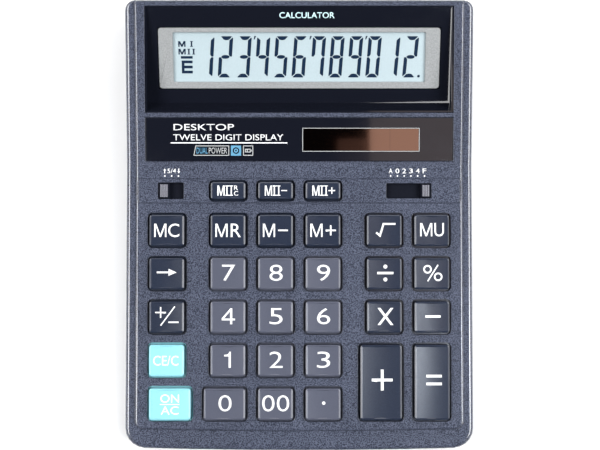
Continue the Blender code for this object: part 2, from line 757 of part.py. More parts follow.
def make_bottom_case():
    """A tray with a tongue inside the top case's wall, screw posts, board posts and a battery box."""
    case = prism("bottom_case", case_outline(0), FOOT_PROUD, FAR, case_plastic)
    round_edges(case, FLOOR_FILLET, 2, clamped=False)
    above = (-BODY_WIDTH, -BODY_LENGTH, PARTING_HEIGHT)
    cut(case, block("above_parting", above, (BODY_WIDTH, BODY_LENGTH, 2 * FAR)))
    tongue = CASE_WALL + GAP
    tongue_high = PARTING_HEIGHT + TONGUE_HEIGHT
    join(case, prism("tongue", case_outline(tongue), floor_top, tongue_high))
    cut(case, prism("tray_hollow", case_outline(tongue + TONGUE_WALL), floor_top, FAR))

    post_top, head_top = screw_head_top + SCREW_SEAT, screw_head_top + GAP
    post_radius, shank_radius = BOSS_RADIUS + CASE_WALL / 2, SCREW_SHANK_RADIUS + GAP
    for n, (x, y) in enumerate(screw_places):
        place = (x, y, 0)
        join(case, rod(f"screw_post_{n}", post_radius, floor_top - INSIDE, post_top, location=place))
        cut(case, rod(f"head_hole_{n}", SCREW_HEAD_RADIUS + GAP, -FAR, head_top, location=place))
        cut(case, rod(f"shank_hole_{n}", shank_radius, -FAR, FAR, location=place, sides=8))
    for n, (x, y) in enumerate(foot_places):
        top = FOOT_PROUD + FOOT_RECESS
        cut(case, rod(f"foot_recess_{n}", FOOT_RADIUS + GAP, -FAR, top, location=(x, y, 0)))
    for n, (x, row) in enumerate(board_post_places):
        y = kink_y + row * cos(DECK_SLOPE)
        reach = POST_RADIUS * tan(DECK_SLOPE)
        top = roof_height(y) + board_bottom / cos(DECK_SLOPE) - GAP - reach
        join(case, rod(f"board_post_{n}", POST_RADIUS, floor_top - INSIDE, top, location=(x, y, 0), sides=8))

    half = (DOOR_WIDTH / 2 + GAP, DOOR_LENGTH / 2 + GAP)
    inner = (half[0] + DOOR_LIP, half[1] + DOOR_LIP)
    outer = (inner[0] + FLOOR_WALL, inner[1] + FLOOR_WALL)
    place = (DOOR_X, door_y, 0)
    box_low = (-outer[0], -outer[1], floor_top - INSIDE)
    join(case, block("battery_box", box_low, (*outer, box_roof), location=place))
    roof_under = box_roof - FLOOR_WALL
    space_low = (-inner[0], -inner[1], floor_top)
    cut(case, block("battery_space", space_low, (*inner, roof_under), location=place))
    opening_low = (-half[0], -half[1], -FAR)
    cut(case, block("door_opening", opening_low, (*half, floor_top + INSIDE), location=place))
    well = CELL_RADIUS + GAP
    ring = rod("cell_ring", well + FLOOR_WALL / 2, cell_bottom, roof_under + INSIDE, location=place)
    cut(ring, rod("cell_well", well, -FAR, roof_under + 2 * INSIDE, location=place))
    notch = (CELL_RADIUS, -CONTACT_WIDTH / 2 - GAP, -FAR)
    cut(ring, block("ring_notch", notch, (2 * CELL_RADIUS, CONTACT_WIDTH / 2 + GAP, FAR), location=place))
    join(case, ring)
    return roof_under


def make_battery(roof_under):
    place = (DOOR_X, door_y, 0)
    rod("button_cell", CELL_RADIUS, cell_bottom, cell_bottom + CELL_THICKNESS, cell_steel, location=place)
    low = cell_bottom + CELL_THICKNESS + GAP
    half = CONTACT_WIDTH / 2
    block(
        "contact_minus",
        (-CELL_RADIUS + GAP, -half, low),
        (CELL_RADIUS - GAP, half, low + CONTACT_THICKNESS),
        contact_metal,
        location=place,
    )
    side = CELL_RADIUS + GAP
    block(
        "contact_plus",
        (side, -half, cell_bottom),
        (side + CONTACT_THICKNESS, half, roof_under - GAP),
        contact_metal,
        location=place,
    )

    door_low, door_high = (-DOOR_WIDTH / 2, 0, 0), (DOOR_WIDTH / 2, DOOR_LENGTH, FLOOR_WALL)
    door = block("battery_door", door_low, door_high, case_plastic, location=door_hinge)
    for n, side in enumerate((-1, 1)):
        x = side * DOOR_WIDTH / 4
        tab_low = FLOOR_WALL + GAP
        tab = block(
            f"door_tab_{n}",
            (x - DOOR_TAB_WIDTH / 2, -DOOR_TAB_REACH, tab_low),
            (x + DOOR_TAB_WIDTH / 2, DOOR_TAB_THICKNESS, tab_low + DOOR_TAB_THICKNESS),
            location=door_hinge,
        )
        riser = block(
            f"door_riser_{n}",
            (x - DOOR_TAB_WIDTH / 2, 0, FLOOR_WALL - INSIDE),
            (x + DOOR_TAB_WIDTH / 2, DOOR_TAB_THICKNESS, tab_low + DOOR_TAB_THICKNESS),
            location=door_hinge,
        )
        join(riser, tab)
        join(door, riser)
    dip_place = (DOOR_X, door_y + DOOR_LENGTH / 4, FOOT_PROUD)
    cut(door, rod("thumb_dip", DOOR_WIDTH / 4, -FAR, FLOOR_WALL / 3, location=dip_place))


def make_feet_and_screws():
    names = ("rear_left", "rear_right", "front_left", "front_right")
    foot_top = FOOT_PROUD + FOOT_RECESS - GAP
    for name, (x, y) in zip(names, foot_places):
        foot = rod("foot_" + name, FOOT_RADIUS, 0, foot_top, black_rubber, location=(x, y, 0))
        round_edges(foot, GAP, 1)
    head_bottom, head_top = screw_head_top - SCREW_HEAD_THICKNESS, screw_head_top
    shank_top = head_top + SCREW_LENGTH
    for name, (x, y) in zip(names, screw_places):
        place = (x, y, 0)
        screw = rod("screw_" + name, SCREW_HEAD_RADIUS, head_bottom, head_top, screw_steel, location=place)
        shank_low = head_top - INSIDE
        join(screw, rod("shank_" + name, SCREW_SHANK_RADIUS, shank_low, shank_top, location=place, sides=8))
        for n, (x_share, y_share) in enumerate(((1, CROSS_ARM), (CROSS_ARM, 1))):
            half_x, half_y = CROSS_REACH * x_share, CROSS_REACH * y_share
            cross_high = (half_x, half_y, head_bottom + CROSS_DEPTH)
            cut(screw, block(f"cross_{name}_{n}", (-half_x, -half_y, -FAR), cross_high, location=place))


def make_wiring(display_board_edge):
    """The flat cable between the two boards and the solar cell's lead."""
    start = display.matrix_world @ Vector((0, display_board_edge - GAP, display_board_face))
    end = deck.matrix_world @ Vector((0, GAP - MAT_THICKNESS, board_top))
    bottom_z = min(start.z, end.z) - 3 * CABLE_THICKNESS
    middle_y = (start.y + end.y) / 2
    path = [(start.y, start.z), (start.y - 0.002, start.z - 0.001), (middle_y, bottom_z), (end.y, end.z)]
    shape = bmesh.new()
    lines = [[shape.verts.new((x, y, z)) for y, z in path] for x in (-CABLE_WIDTH / 2, CABLE_WIDTH / 2)]
    for n in range(len(path) - 1):
        shape.faces.new((lines[0][n], lines[0][n + 1], lines[1][n + 1], lines[1][n]))
    cable = from_bmesh("ribbon_cable", shape, cable_plastic)
    modify(cable, "SOLIDIFY", thickness=CABLE_THICKNESS, offset=0)

    down = -SOLAR_SINK - SOLAR_THICKNESS - GAP
    top = [upper.matrix_world @ Vector((SOLAR_X, solar_place[1], down - LEAD_BEND * n)) for n in (0, 1)]
    up = board_top + GAP
    foot = [deck.matrix_world @ Vector((SOLAR_X, -LEAD_FROM_EDGE, up + LEAD_BEND * n)) for n in (0, 1)]
    curve = bpy.data.curves.new("solar_lead", "CURVE")
    curve.dimensions = "3D"
    curve.bevel_depth = LEAD_RADIUS
    curve.bevel_resolution = 2
    curve.use_fill_caps = True
    spline = curve.splines.new("POLY")
    steps = 10
    spline.points.add(steps)
    for n, point in enumerate(spline.points):
        t = n / steps
        near_top = top[0] * (1 - t) ** 3 + top[1] * 3 * t * (1 - t) ** 2
        near_foot = foot[1] * 3 * t**2 * (1 - t) + foot[0] * t**3
        point.co = (*(near_top + near_foot), 1)
    lead = bpy.data.objects.new("solar_lead", curve)
    link(lead, red_wire)


clear_scene()
parts = collection("desk_calculator")
cutters = collection("cutters")
key_openings = collection("key_openings")

case_plastic = material("case_plastic", (0.105, 0.115, 0.145), 0.5)
dark_plastic = material("dark_plastic", (0.012, 0.013, 0.018), 0.35)
black_gloss = material("black_gloss", (0.008, 0.009, 0.016), 0.08)
silver_paint = material("silver_paint", (0.62, 0.60, 0.57), 0.35, 0.4)
lcd_finish = material("lcd_glass", (0.66, 0.78, 0.83), 0.1)
solar_glass = material("solar_glass", (0.010, 0.006, 0.006), 0.06)
grey_rubber = material("grey_rubber", (0.25, 0.25, 0.26), 0.8)
zebra_rubber = material("zebra_rubber", (0.30, 0.20, 0.22), 0.8)
black_rubber = material("black_rubber", (0.015, 0.015, 0.016), 0.85)
green_board = material("green_board", (0.03, 0.14, 0.06), 0.45)
epoxy = material("epoxy", (0.01, 0.01, 0.01), 0.3)
cell_steel = material("cell_steel", (0.70, 0.70, 0.72), 0.25, 1.0)
contact_metal = material("contact_metal", (0.75, 0.74, 0.70), 0.3, 1.0)
screw_steel = material("screw_steel", (0.35, 0.35, 0.37), 0.35, 1.0)
cable_plastic = material("cable_plastic", (0.62, 0.62, 0.60), 0.5)
red_wire = material("red_wire", (0.5, 0.03, 0.03), 0.5)
finishes = {
    "dark": material("dark_key", (0.045, 0.053, 0.080), 0.3),
    "grey": material("grey_key", (0.145, 0.155, 0.190), 0.3),
    "blue": material("blue_key", (0.33, 0.87, 0.94), 0.3),
}

deck = frame("deck_frame", (0, kink_y, kink_z), DECK_SLOPE)
upper = frame("upper_frame", (0, kink_y, kink_z), upper_slope)
panel_top_z = roof_height(recess_rear) - PANEL_SINK
display = frame("display_frame", (0, recess_rear, panel_top_z), DISPLAY_SLOPE)
bpy.context.view_layer.update()

# The trough's slope runs from the fascia's front edge down to where it meets the panel
trough_front = recess_front + GAP + CHEEK_WALL
trough_front_z = roof_height(trough_front) - PANEL_SINK
trough_fall = trough_front_z - panel_height(trough_front)
panel_trough_z = trough_front_z - trough_fall / (1 + tan(DISPLAY_SLOPE) * tan(TROUGH_DRAFT))

solar_place = (SOLAR_X, SOLAR_FROM_KINK / cos(upper_slope), 0)
screw_head_top = FOOT_PROUD + SCREW_HEAD_THICKNESS + GAP
screw_x = half_width - SCREW_INSET
screw_ends = (rear - SCREW_FROM_END, front + SCREW_FROM_END)
screw_places = [(x, y) for y in screw_ends for x in (-screw_x, screw_x)]
foot_x = half_width - FOOT_INSET
foot_places = [(x, y) for y in (rear - FOOT_INSET, front + FOOT_INSET) for x in (-foot_x, foot_x)]
board_post_places = [(x, y) for x in (columns[0], columns[3], columns[5]) for y in (rows[1], rows[3])]

cell_bottom = floor_top + CELL_LIFT
box_roof = cell_bottom + CELL_THICKNESS + 2 * GAP + CONTACT_THICKNESS + FLOOR_WALL
door_y = rear - DOOR_FROM_REAR
door_hinge = (DOOR_X, door_y - DOOR_LENGTH / 2, FOOT_PROUD)

NAMES = (
    (None, "memory2_recall", "memory2_minus", "memory2_plus", None, None),
    ("memory_clear", "memory_recall", "memory_minus", "memory_plus", "root", "markup"),
    ("shift", "7", "8", "9", "divide", "percent"),
    ("sign", "4", "5", "6", "multiply", "minus"),
    ("clear_entry", "1", "2", "3", None, None),
    ("on_clear", "0", "00", "point", None, None),
)
GREY_KEYS = {"0", "1", "2", "3", "4", "5", "6", "7", "8", "9", "00", "point"}
BLUE_KEYS = {"clear_entry", "on_clear"}
WIDE_KEYS = {"on_clear": 1, "0": -1, "plus": -1}  # the side to which each is wider

lengths = [FUNCTION_KEY_LENGTH] + 5 * [key_length]
keys = [
    {"name": name, "x": columns[column], "y": rows[row], "length": lengths[row]}
    for row, names in enumerate(NAMES)
    for column, name in enumerate(names)
    if name
]
tall = {"y": (rows[4] + rows[5]) / 2, "length": key_length + row_pitch}
keys += [{"name": "plus", "x": columns[4], **tall}, {"name": "equals", "x": columns[5], **tall}]
for key in keys:
    side = WIDE_KEYS.get(key["name"], 0)
    key["width"] = key_width + abs(side) * WIDE_KEY_EXTRA
    key["x"] += side * WIDE_KEY_EXTRA / 2
    key["finish"] = "grey" if key["name"] in GREY_KEYS else "blue" if key["name"] in BLUE_KEYS else "dark"

knobs = []
for name, steps, grip, length in (
    ("rounding_knob", ROUND_STEPS, ROUND_GRIP_WIDTH, ROUND_SLOT_LENGTH),
    ("decimal_knob", DECIMAL_STEPS, DECIMAL_GRIP_WIDTH, DECIMAL_SLOT_LENGTH),
):
    travel = steps * SWITCH_STEP
    slot = grip + travel + 2 * GAP
    knobs.append({"name": name, "travel": travel, "grip": grip, "slot_width": slot, "slot_length": length})
rounding, decimal = knobs
rounding["slot_x"] = columns[0] - key_width / 2 + ROUND_SLOT_START + rounding["slot_width"] / 2
rounding["x"] = rounding["slot_x"] - rounding["travel"] / 2
decimal["slot_x"] = (columns[4] + columns[5]) / 2 + DECIMAL_SLOT_SHIFT
decimal["x"] = decimal["slot_x"] + decimal["travel"] / 2

make_openings()
make_top_case()
for key in keys:
    make_key(key)
for knob in knobs:
    make_knob(knob)
make_mat()
make_main_board()
make_lower_panel()
board_edge = make_display()
compartment_roof = make_bottom_case()
make_battery(compartment_roof)
make_feet_and_screws()
make_wiring(board_edge)
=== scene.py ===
"""A desk calculator's finished look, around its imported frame. Metres, X right, Y to the rear, Z up.

Tilted pieces are modelled lying flat and are then turned about the world's X axis, by the tilt of the plane
that they lie on: the deck with the keys, the upper plane with the solar cell, or the display panel.
"""

import json
from math import atan2, cos, hypot, pi, radians, sin

import bpy
from mathutils import Matrix, Vector


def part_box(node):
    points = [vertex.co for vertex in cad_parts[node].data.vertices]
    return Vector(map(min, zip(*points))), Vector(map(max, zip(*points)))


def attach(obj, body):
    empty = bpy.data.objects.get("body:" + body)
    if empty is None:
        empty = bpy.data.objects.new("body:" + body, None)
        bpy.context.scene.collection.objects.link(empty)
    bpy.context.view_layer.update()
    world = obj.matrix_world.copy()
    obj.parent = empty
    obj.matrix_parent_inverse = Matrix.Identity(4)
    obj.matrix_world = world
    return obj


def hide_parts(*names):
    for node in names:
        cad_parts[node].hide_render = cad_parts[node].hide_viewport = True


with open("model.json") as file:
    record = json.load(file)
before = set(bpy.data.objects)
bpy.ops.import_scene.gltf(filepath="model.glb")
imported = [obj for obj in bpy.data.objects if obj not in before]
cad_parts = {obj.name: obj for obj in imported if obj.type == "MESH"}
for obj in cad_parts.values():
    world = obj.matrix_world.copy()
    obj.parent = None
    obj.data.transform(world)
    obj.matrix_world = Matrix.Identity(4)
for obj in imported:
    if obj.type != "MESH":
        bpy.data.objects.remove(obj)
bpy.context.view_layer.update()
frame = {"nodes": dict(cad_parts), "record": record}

MM = 0.001
LCD_FIGURES = "123456789012"

# Modelling helpers


def pick(obj):
    """Makes one object the only one selected, and the active one."""
    bpy.ops.object.select_all(action="DESELECT")
    obj.select_set(True)
    bpy.context.view_layer.objects.active = obj


def started(name):
    """Names the primitive just added and applies its place, turn and size."""
    obj = bpy.context.object
    obj.name = obj.data.name = name
    bpy.ops.object.transform_apply(location=True, rotation=True, scale=True)
    return obj


def select(obj, kind, wanted):
    """Enters edit mode with only the wanted faces or edges selected, by their middle and their direction."""
    pick(obj)
    bpy.ops.object.mode_set(mode="EDIT")
    bpy.ops.mesh.select_mode(type=kind)
    bpy.ops.mesh.select_all(action="DESELECT")
    bpy.ops.object.mode_set(mode="OBJECT")
    mesh = obj.data
    if kind == "FACE":
        for face in mesh.polygons:
            face.select = wanted(face.center, face.normal)
    else:
        for edge in mesh.edges:
            start, end = (mesh.vertices[n].co for n in edge.vertices)
            edge.select = wanted((start + end) / 2, (end - start).normalized())
    bpy.ops.object.mode_set(mode="EDIT")


def leave_edit():
    bpy.ops.object.mode_set(mode="OBJECT")


def shape(obj, kind, **settings):
    """Adds a modifier and applies it."""
    modifier = obj.modifiers.new(kind, kind)
    for setting, value in settings.items():
        setattr(modifier, setting, value)
    pick(obj)
    bpy.ops.object.modifier_apply(modifier=modifier.name)


def carve(obj, cutter, operation="DIFFERENCE"):
    shape(obj, "BOOLEAN", object=cutter, operation=operation)
    bpy.data.objects.remove(cutter)


def soften(obj, angle=35):
    pick(obj)
    bpy.ops.object.shade_smooth_by_angle(angle=radians(angle))


def slab(name, low, high, corner=0.0, steps=5):
    """A block whose upright edges may be rounded."""
    low, high = Vector(low), Vector(high)
    bpy.ops.mesh.primitive_cube_add(size=1, location=(low + high) / 2, scale=high - low)
    obj = started(name)
    if corner:
        select(obj, "EDGE", lambda middle, along: abs(along.z) > 0.9)
        bpy.ops.mesh.bevel(offset=corner, segments=steps, affect="EDGES")
        leave_edit()
    return obj


def joined(pieces, name):
    pick(pieces[0])
    for piece in pieces[1:]:
        piece.select_set(True)
    if len(pieces) > 1:
        bpy.ops.object.join()
    pieces[0].name = pieces[0].data.name = name
    return pieces[0]


def copied(obj, name):
    twin = bpy.data.objects.new(name, obj.data.copy())
    bpy.context.scene.collection.objects.link(twin)
    return twin


def settle(obj, place, tilt=0.0):
    """Moves a piece modelled at the origin to its place on a tilted plane."""
    pick(obj)
    obj.matrix_world = Matrix.Rotation(tilt, 4, "X") @ Matrix.Translation(place)
    bpy.ops.object.transform_apply(location=True, rotation=True, scale=True)
    return obj


def declare(obj, finish, body, slot, *nodes):
    """Gives a piece its finish, its body and the CAD nodes that it stands for, which are hidden. The slot is
    not used.
    """
    obj.data.materials.clear()
    obj.data.materials.append(finish)
    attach(obj, body)
    if nodes:
        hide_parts(*nodes)
    return obj


def refined(node, name, edge, steps=2, limit=40, cutters=(), within=None):
    """A copy of a CAD node with its facets merged, cuts made, its edges eased and its round faces smooth."""
    piece = bpy.data.objects.new(name, frame["nodes"][node].data.copy())
    bpy.context.scene.collection.objects.link(piece)
    pick(piece)
    bpy.ops.object.mode_set(mode="EDIT")
    bpy.ops.mesh.select_all(action="SELECT")
    bpy.ops.mesh.remove_doubles(threshold=1e-6)
    bpy.ops.mesh.dissolve_limited(angle_limit=radians(0.3))
    leave_edit()
    for cutter in cutters:
        carve(piece, cutter)
    if within:
        carve(piece, within, "INTERSECT")
    if edge:
        shape(
            piece,
            "BEVEL",
            width=edge,
            segments=steps,
            limit_method="ANGLE",
            angle_limit=radians(limit),
            use_clamp_overlap=False,
            miter_outer="MITER_ARC",
        )
    soften(piece)
    shape(piece, "WEIGHTED_NORMAL", keep_sharp=True)
    return piece


# Measures from the frame


def tilt_of(node):
    """The tilt of a node's largest face that looks up."""
    faces = [face for face in frame["nodes"][node].data.polygons if face.normal.z > 0.5]
    normal = max(faces, key=lambda face: face.area).normal
    return atan2(-normal.y, normal.z)


def ends_of(points):
    """The lowest and the highest corner of the upright box that holds these points."""
    return tuple(Vector([end(point[n] for point in points) for n in range(3)]) for end in (min, max))


def flat_box(node, tilt, above=-1.0):
    """The lowest and highest corners of a node's part above a height, along a tilted plane."""
    turn = Matrix.Rotation(-tilt, 3, "X")
    points = [turn @ vertex.co for vertex in frame["nodes"][node].data.vertices]
    points = [point for point in points if point.z > above]
    return ends_of(points)


def face_height(node, tilt):
    """The height of a node's largest face along a tilted plane, from that plane's origin."""
    up = Vector((0, -sin(tilt), cos(tilt)))
    faces = [face for face in frame["nodes"][node].data.polygons if face.normal.dot(up) > 0.999]
    return max(faces, key=lambda face: face.area).center.dot(up)


def middle_of(box):
    return (box[0] + box[1]) / 2


deck_tilt = tilt_of("key_5")
upper_tilt = tilt_of("lower_panel")
display_tilt = tilt_of("lcd_bezel")

# Flat shapes: outlines, letters and signs, drawn on the XY plane


def flat_shape(name, outlines):
    """A flat mesh inside closed outlines. An outline inside another makes a hole."""
    curve = bpy.data.curves.new(name, "CURVE")
    curve.dimensions = "2D"
    curve.fill_mode = "BOTH"
    for outline in outlines:
        spline = curve.splines.new("POLY")
        spline.points.add(len(outline) - 1)
        for point, (x, y) in zip(spline.points, outline):
            point.co = (x, y, 0, 1)
        spline.use_cyclic_u = True
    obj = bpy.data.objects.new(name, curve)
    bpy.context.scene.collection.objects.link(obj)
    pick(obj)
    bpy.ops.object.convert(target="MESH")
    return welded(bpy.context.object)


def welded(obj):
    pick(obj)
    bpy.ops.object.mode_set(mode="EDIT")
    bpy.ops.mesh.select_all(action="SELECT")
    bpy.ops.mesh.remove_doubles(threshold=2e-6)
    leave_edit()
    return obj


def box_outline(width, height, x=0.0, y=0.0):
    w, h = width / 2, height / 2
    return [(x - w, y - h), (x + w, y - h), (x + w, y + h), (x - w, y + h)]


def round_outline(radius, x=0.0, y=0.0, sides=20):
    turns = [2 * pi * n / sides for n in range(sides)]
    return [(x + radius * cos(turn), y + radius * sin(turn)) for turn in turns]


def stroke_outline(path, width):
    """The outline of a bent stroke with mitred corners and square ends."""
    left, right = [], []
    for n, (x, y) in enumerate(path):
        before, after = path[max(n - 1, 0)], path[min(n + 1, len(path) - 1)]
        sides = []
        for (ax, ay), (bx, by) in ((before, (x, y)), ((x, y), after)):
            length = hypot(bx - ax, by - ay)
            if length:
                sides.append(Vector((ay - by, bx - ax)) / length)
        side = sum(sides, Vector((0, 0))).normalized()
        reach = width / 2 / side.dot(sides[0])
        left.append((x + side.x * reach, y + side.y * reach))
        right.append((x - side.x * reach, y - side.y * reach))
    return left + right[::-1]


def cross_outline(size, width, x=0.0, y=0.0):
    s, w = size / 2, width / 2
    corners = [(-w, -s), (w, -s), (w, -w), (s, -w), (s, w), (w, w)]
    corners += [(w, s), (-w, s), (-w, w), (-s, w), (-s, -w), (-w, -w)]
    return [(x + cx, y + cy) for cx, cy in corners]


def lettering(text, height, width=None, x=0.0, y=0.0, weight=0.0):
    """Flat letters of a set height, and width if one is given, centred on a point."""
    bpy.ops.object.text_add()
    obj = bpy.context.object
    obj.data.body = text
    obj.data.offset = weight
    obj.data.resolution_u = 4
    bpy.ops.object.convert(target="MESH")
    obj = bpy.context.object
    xs = [vertex.co.x for vertex in obj.data.vertices]
    ys = [vertex.co.y for vertex in obj.data.vertices]
    scale_y = height / (max(ys) - min(ys))
    scale_x = scale_y if width is None else width / (max(xs) - min(xs))
    centre = ((min(xs) + max(xs)) / 2 * scale_x, (min(ys) + max(ys)) / 2 * scale_y)
    obj.scale = (scale_x, scale_y, 1)
    obj.location = (x - centre[0], y - centre[1], 0)
    bpy.ops.object.transform_apply(location=True, rotation=True, scale=True)
    return welded(obj)


def moved(outline, x, y):
    return [(x + px, y + py) for px, py in outline]


def mirrored(half):
    """A whole outline from its right half, which starts and ends on the Y axis or beside it."""
    return half + [(-x, y) for x, y in reversed(half) if x]


def letter_m(width, height, stem, x=0.0, y=0.0):
    w, h, s = width / 2, height / 2, stem
    half = [(s / 2, -h), (w - s, h - 1.8 * s), (w - s, -h), (w, -h)]
    half += [(w, h), (w - 1.4 * s, h), (0, 1.6 * s - h)]
    return moved(mirrored(half), x, y)


def letter_e(width, height, stem, x=0.0, y=0.0):
    w, h, s = width / 2, height / 2, stem
    low = [(w, -s / 2), (s - w, -s / 2), (s - w, s - h), (w, s - h), (w, -h), (-w, -h)]
    return moved(low + [(px, -py) for px, py in reversed(low)], x, y)


def letter_x(width, height, foot, x=0.0, y=0.0):
    """Two crossing strokes, each as wide as its foot along the baseline."""
    w, h, f = width / 2, height / 2, foot
    notch = h - (w - f) * h / (w - f / 2)
    quarter = [(0, -notch), (w - f, -h), (w, -h), (f / 2, 0), (w, h), (w - f, h), (0, notch)]
    return moved(mirrored(quarter), x, y)


def frame_outlines(width, height, line, x=0.0, y=0.0, lean=0.0):
    """The outer and inner outlines of a box whose left side leans."""
    w, h, v = width / 2, height / 2, width / 2 - line
    outer = [(-w, -h), (w, -h), (w, h), (lean - w, h)]
    inner = [(-v, line - h), (v, line - h), (v, h - line), (lean - v, h - line)]
    return [moved(outer, x, y), moved(inner, x, y)]


def printed(pieces, name, thickness=0.03 * MM):
    """Flat shapes joined and given the thickness of a print, upwards."""
    print_ = joined(pieces, name)
    shape(print_, "SOLIDIFY", thickness=thickness, offset=1)
    return print_


# Finishes


def material(name, colour, roughness, metallic=0.0, **constants):
    """A Principled material and its shader. Constants are sockets by name, with _ for a space."""
    made = bpy.data.materials.new(name)
    made.use_nodes = True
    shader = made.node_tree.nodes["Principled BSDF"]
    shader.inputs["Base Color"].default_value = (*colour, 1)
    shader.inputs["Roughness"].default_value = roughness
    shader.inputs["Metallic"].default_value = metallic
    for socket, value in constants.items():
        shader.inputs[socket.replace("_", " ")].default_value = value
    return made, shader


def node(finish, kind, **settings):
    made = finish.node_tree.nodes.new("ShaderNode" + kind)
    for setting, value in settings.items():
        if setting in made.inputs:
            made.inputs[setting].default_value = value
        else:
            setattr(made, setting, value)
    return made


def wire(finish, source, target, output=0):
    finish.node_tree.links.new(source.outputs[output], target)


def noise(finish, size, detail=2.0, stretch=(1, 1, 1)):
    """Noise with features of about this size, in the piece's own coordinates."""
    place = node(finish, "TexCoord")
    turn = node(finish, "Mapping", Scale=stretch)
    pattern = node(finish, "TexNoise", Scale=1 / size, Detail=detail)
    wire(finish, place, turn.inputs["Vector"], "Object")
    wire(finish, turn, pattern.inputs["Vector"])
    return pattern


def ramp(finish, pattern, stops):
    """A colour ramp over a pattern. Each stop is a place and a grey or a colour."""
    made = node(finish, "ValToRGB")
    elements = made.color_ramp.elements
    while len(elements) < len(stops):
        elements.new(1.0)
    for element, (place, colour) in zip(elements, stops):
        element.position = place
        element.color = (*colour, 1) if isinstance(colour, tuple) else (colour, colour, colour, 1)
    wire(finish, pattern, made.inputs["Fac"])
    return made


def tinted(finish, shader, pattern, low, high):
    """Varies the base colour between two shares of itself along a pattern."""
    base = shader.inputs["Base Color"].default_value[:3]
    stops = [(place, tuple(c * amount for c in base)) for place, amount in (low, high)]
    share = ramp(finish, pattern, stops)
    wire(finish, share, shader.inputs["Base Color"])


def bumped(finish, shader, patterns):
    """Bump from several patterns, each with its height, one on top of the other."""
    below = None
    for pattern, height in patterns:
        bump = node(finish, "Bump", Strength=1.0, Distance=height)
        wire(finish, pattern, bump.inputs["Height"])
        if below:
            wire(finish, below, bump.inputs["Normal"])
        below = bump
    wire(finish, below, shader.inputs["Normal"])


def roughened(finish, shader, pattern, low, high):
    made = ramp(finish, pattern, [(0.3, low), (0.7, high)])
    wire(finish, made, shader.inputs["Roughness"])


def moulded(name, colour, roughness, grain, depth, mottle=0.12, spread=0.06, **constants):
    """Moulded plastic: spark-eroded grain, with a slight mottle in its colour and gloss."""
    made, shader = material(name, colour, roughness, **constants)
    fine, coarse = noise(made, grain, 3.0), noise(made, 3 * grain, 2.0)
    tinted(made, shader, fine, (0.35, 1 - mottle), (0.65, 1 + mottle))
    roughened(made, shader, coarse, roughness - spread, roughness + spread)
    bumped(made, shader, [(coarse, 2 * depth), (fine, depth)])
    return made


def glossy(name, colour, roughness, **constants):
    """Polished plastic or glass with faint handling marks."""
    made, shader = material(name, colour, roughness, **constants)
    smear = noise(made, 9 * MM, 4.0, (1, 2.5, 1))
    roughened(made, shader, smear, roughness, roughness + 0.05)
    bumped(made, shader, [(noise(made, 14 * MM, 1.0), 0.004 * MM)])
    return made


def metal(name, colour, roughness, stretch=(1, 1, 1)):
    made, shader = material(name, colour, roughness, 1.0)
    lines = noise(made, 0.25 * MM, 3.0, stretch)
    tinted(made, shader, lines, (0.3, 0.8), (0.7, 1.1))
    roughened(made, shader, lines, roughness - 0.05, roughness + 0.12)
    bumped(made, shader, [(lines, 0.004 * MM)])
    return made


def make_case_plastic():
    """Spark-eroded on its flat faces and smoother on the rounded edges along its sides."""
    made, shader = material(
        "case_plastic", (0.052, 0.058, 0.080), 0.42, Specular_IOR_Level=0.1, Coat_Roughness=0.15, Coat_IOR=1.9
    )
    place = node(made, "TexCoord")
    split = node(made, "SeparateXYZ")
    aside = node(made, "Math", operation="ABSOLUTE")
    wire(made, place, split.inputs["Vector"], "Normal")
    wire(made, split, aside.inputs[0], "X")
    gloss = ramp(made, aside, [(0.06, 0.0), (0.14, 1.0), (0.75, 1.0), (0.95, 0.1)])
    wire(made, gloss, shader.inputs["Coat Weight"])
    fine, speckle, cloud = noise(made, 0.35 * MM, 3.0), noise(made, 0.5 * MM, 3.0), noise(made, 26 * MM, 2.0)
    mix = node(made, "MixRGB", blend_type="MULTIPLY", Fac=1.0)
    spots = ramp(made, speckle, [(0.40, (0.018, 0.022, 0.036)), (0.60, (0.090, 0.101, 0.143))])
    shade = ramp(made, cloud, [(0.3, 0.93), (0.7, 1.05)])
    wire(made, spots, mix.inputs["Color1"])
    wire(made, shade, mix.inputs["Color2"])
    wire(made, mix, shader.inputs["Base Color"])
    roughened(made, shader, speckle, 0.30, 0.42)
    bumped(made, shader, [(speckle, 0.035 * MM), (fine, 0.02 * MM)])
    return made


def make_board_green():
    made, shader = material("board_green", (0.02, 0.13, 0.05), 0.35)
    place = node(made, "TexCoord")
    tracks = node(made, "TexBrick", Scale=160.0)
    wire(made, place, tracks.inputs["Vector"], "Object")
    for socket, colour in (
        ("Color1", (0.02, 0.13, 0.05, 1)),
        ("Color2", (0.03, 0.17, 0.07, 1)),
        ("Mortar", (0.05, 0.26, 0.10, 1)),
    ):
        tracks.inputs[socket].default_value = colour
    wire(made, tracks, shader.inputs["Base Color"])
    bumped(made, shader, [(tracks, 0.02 * MM)])
    return made


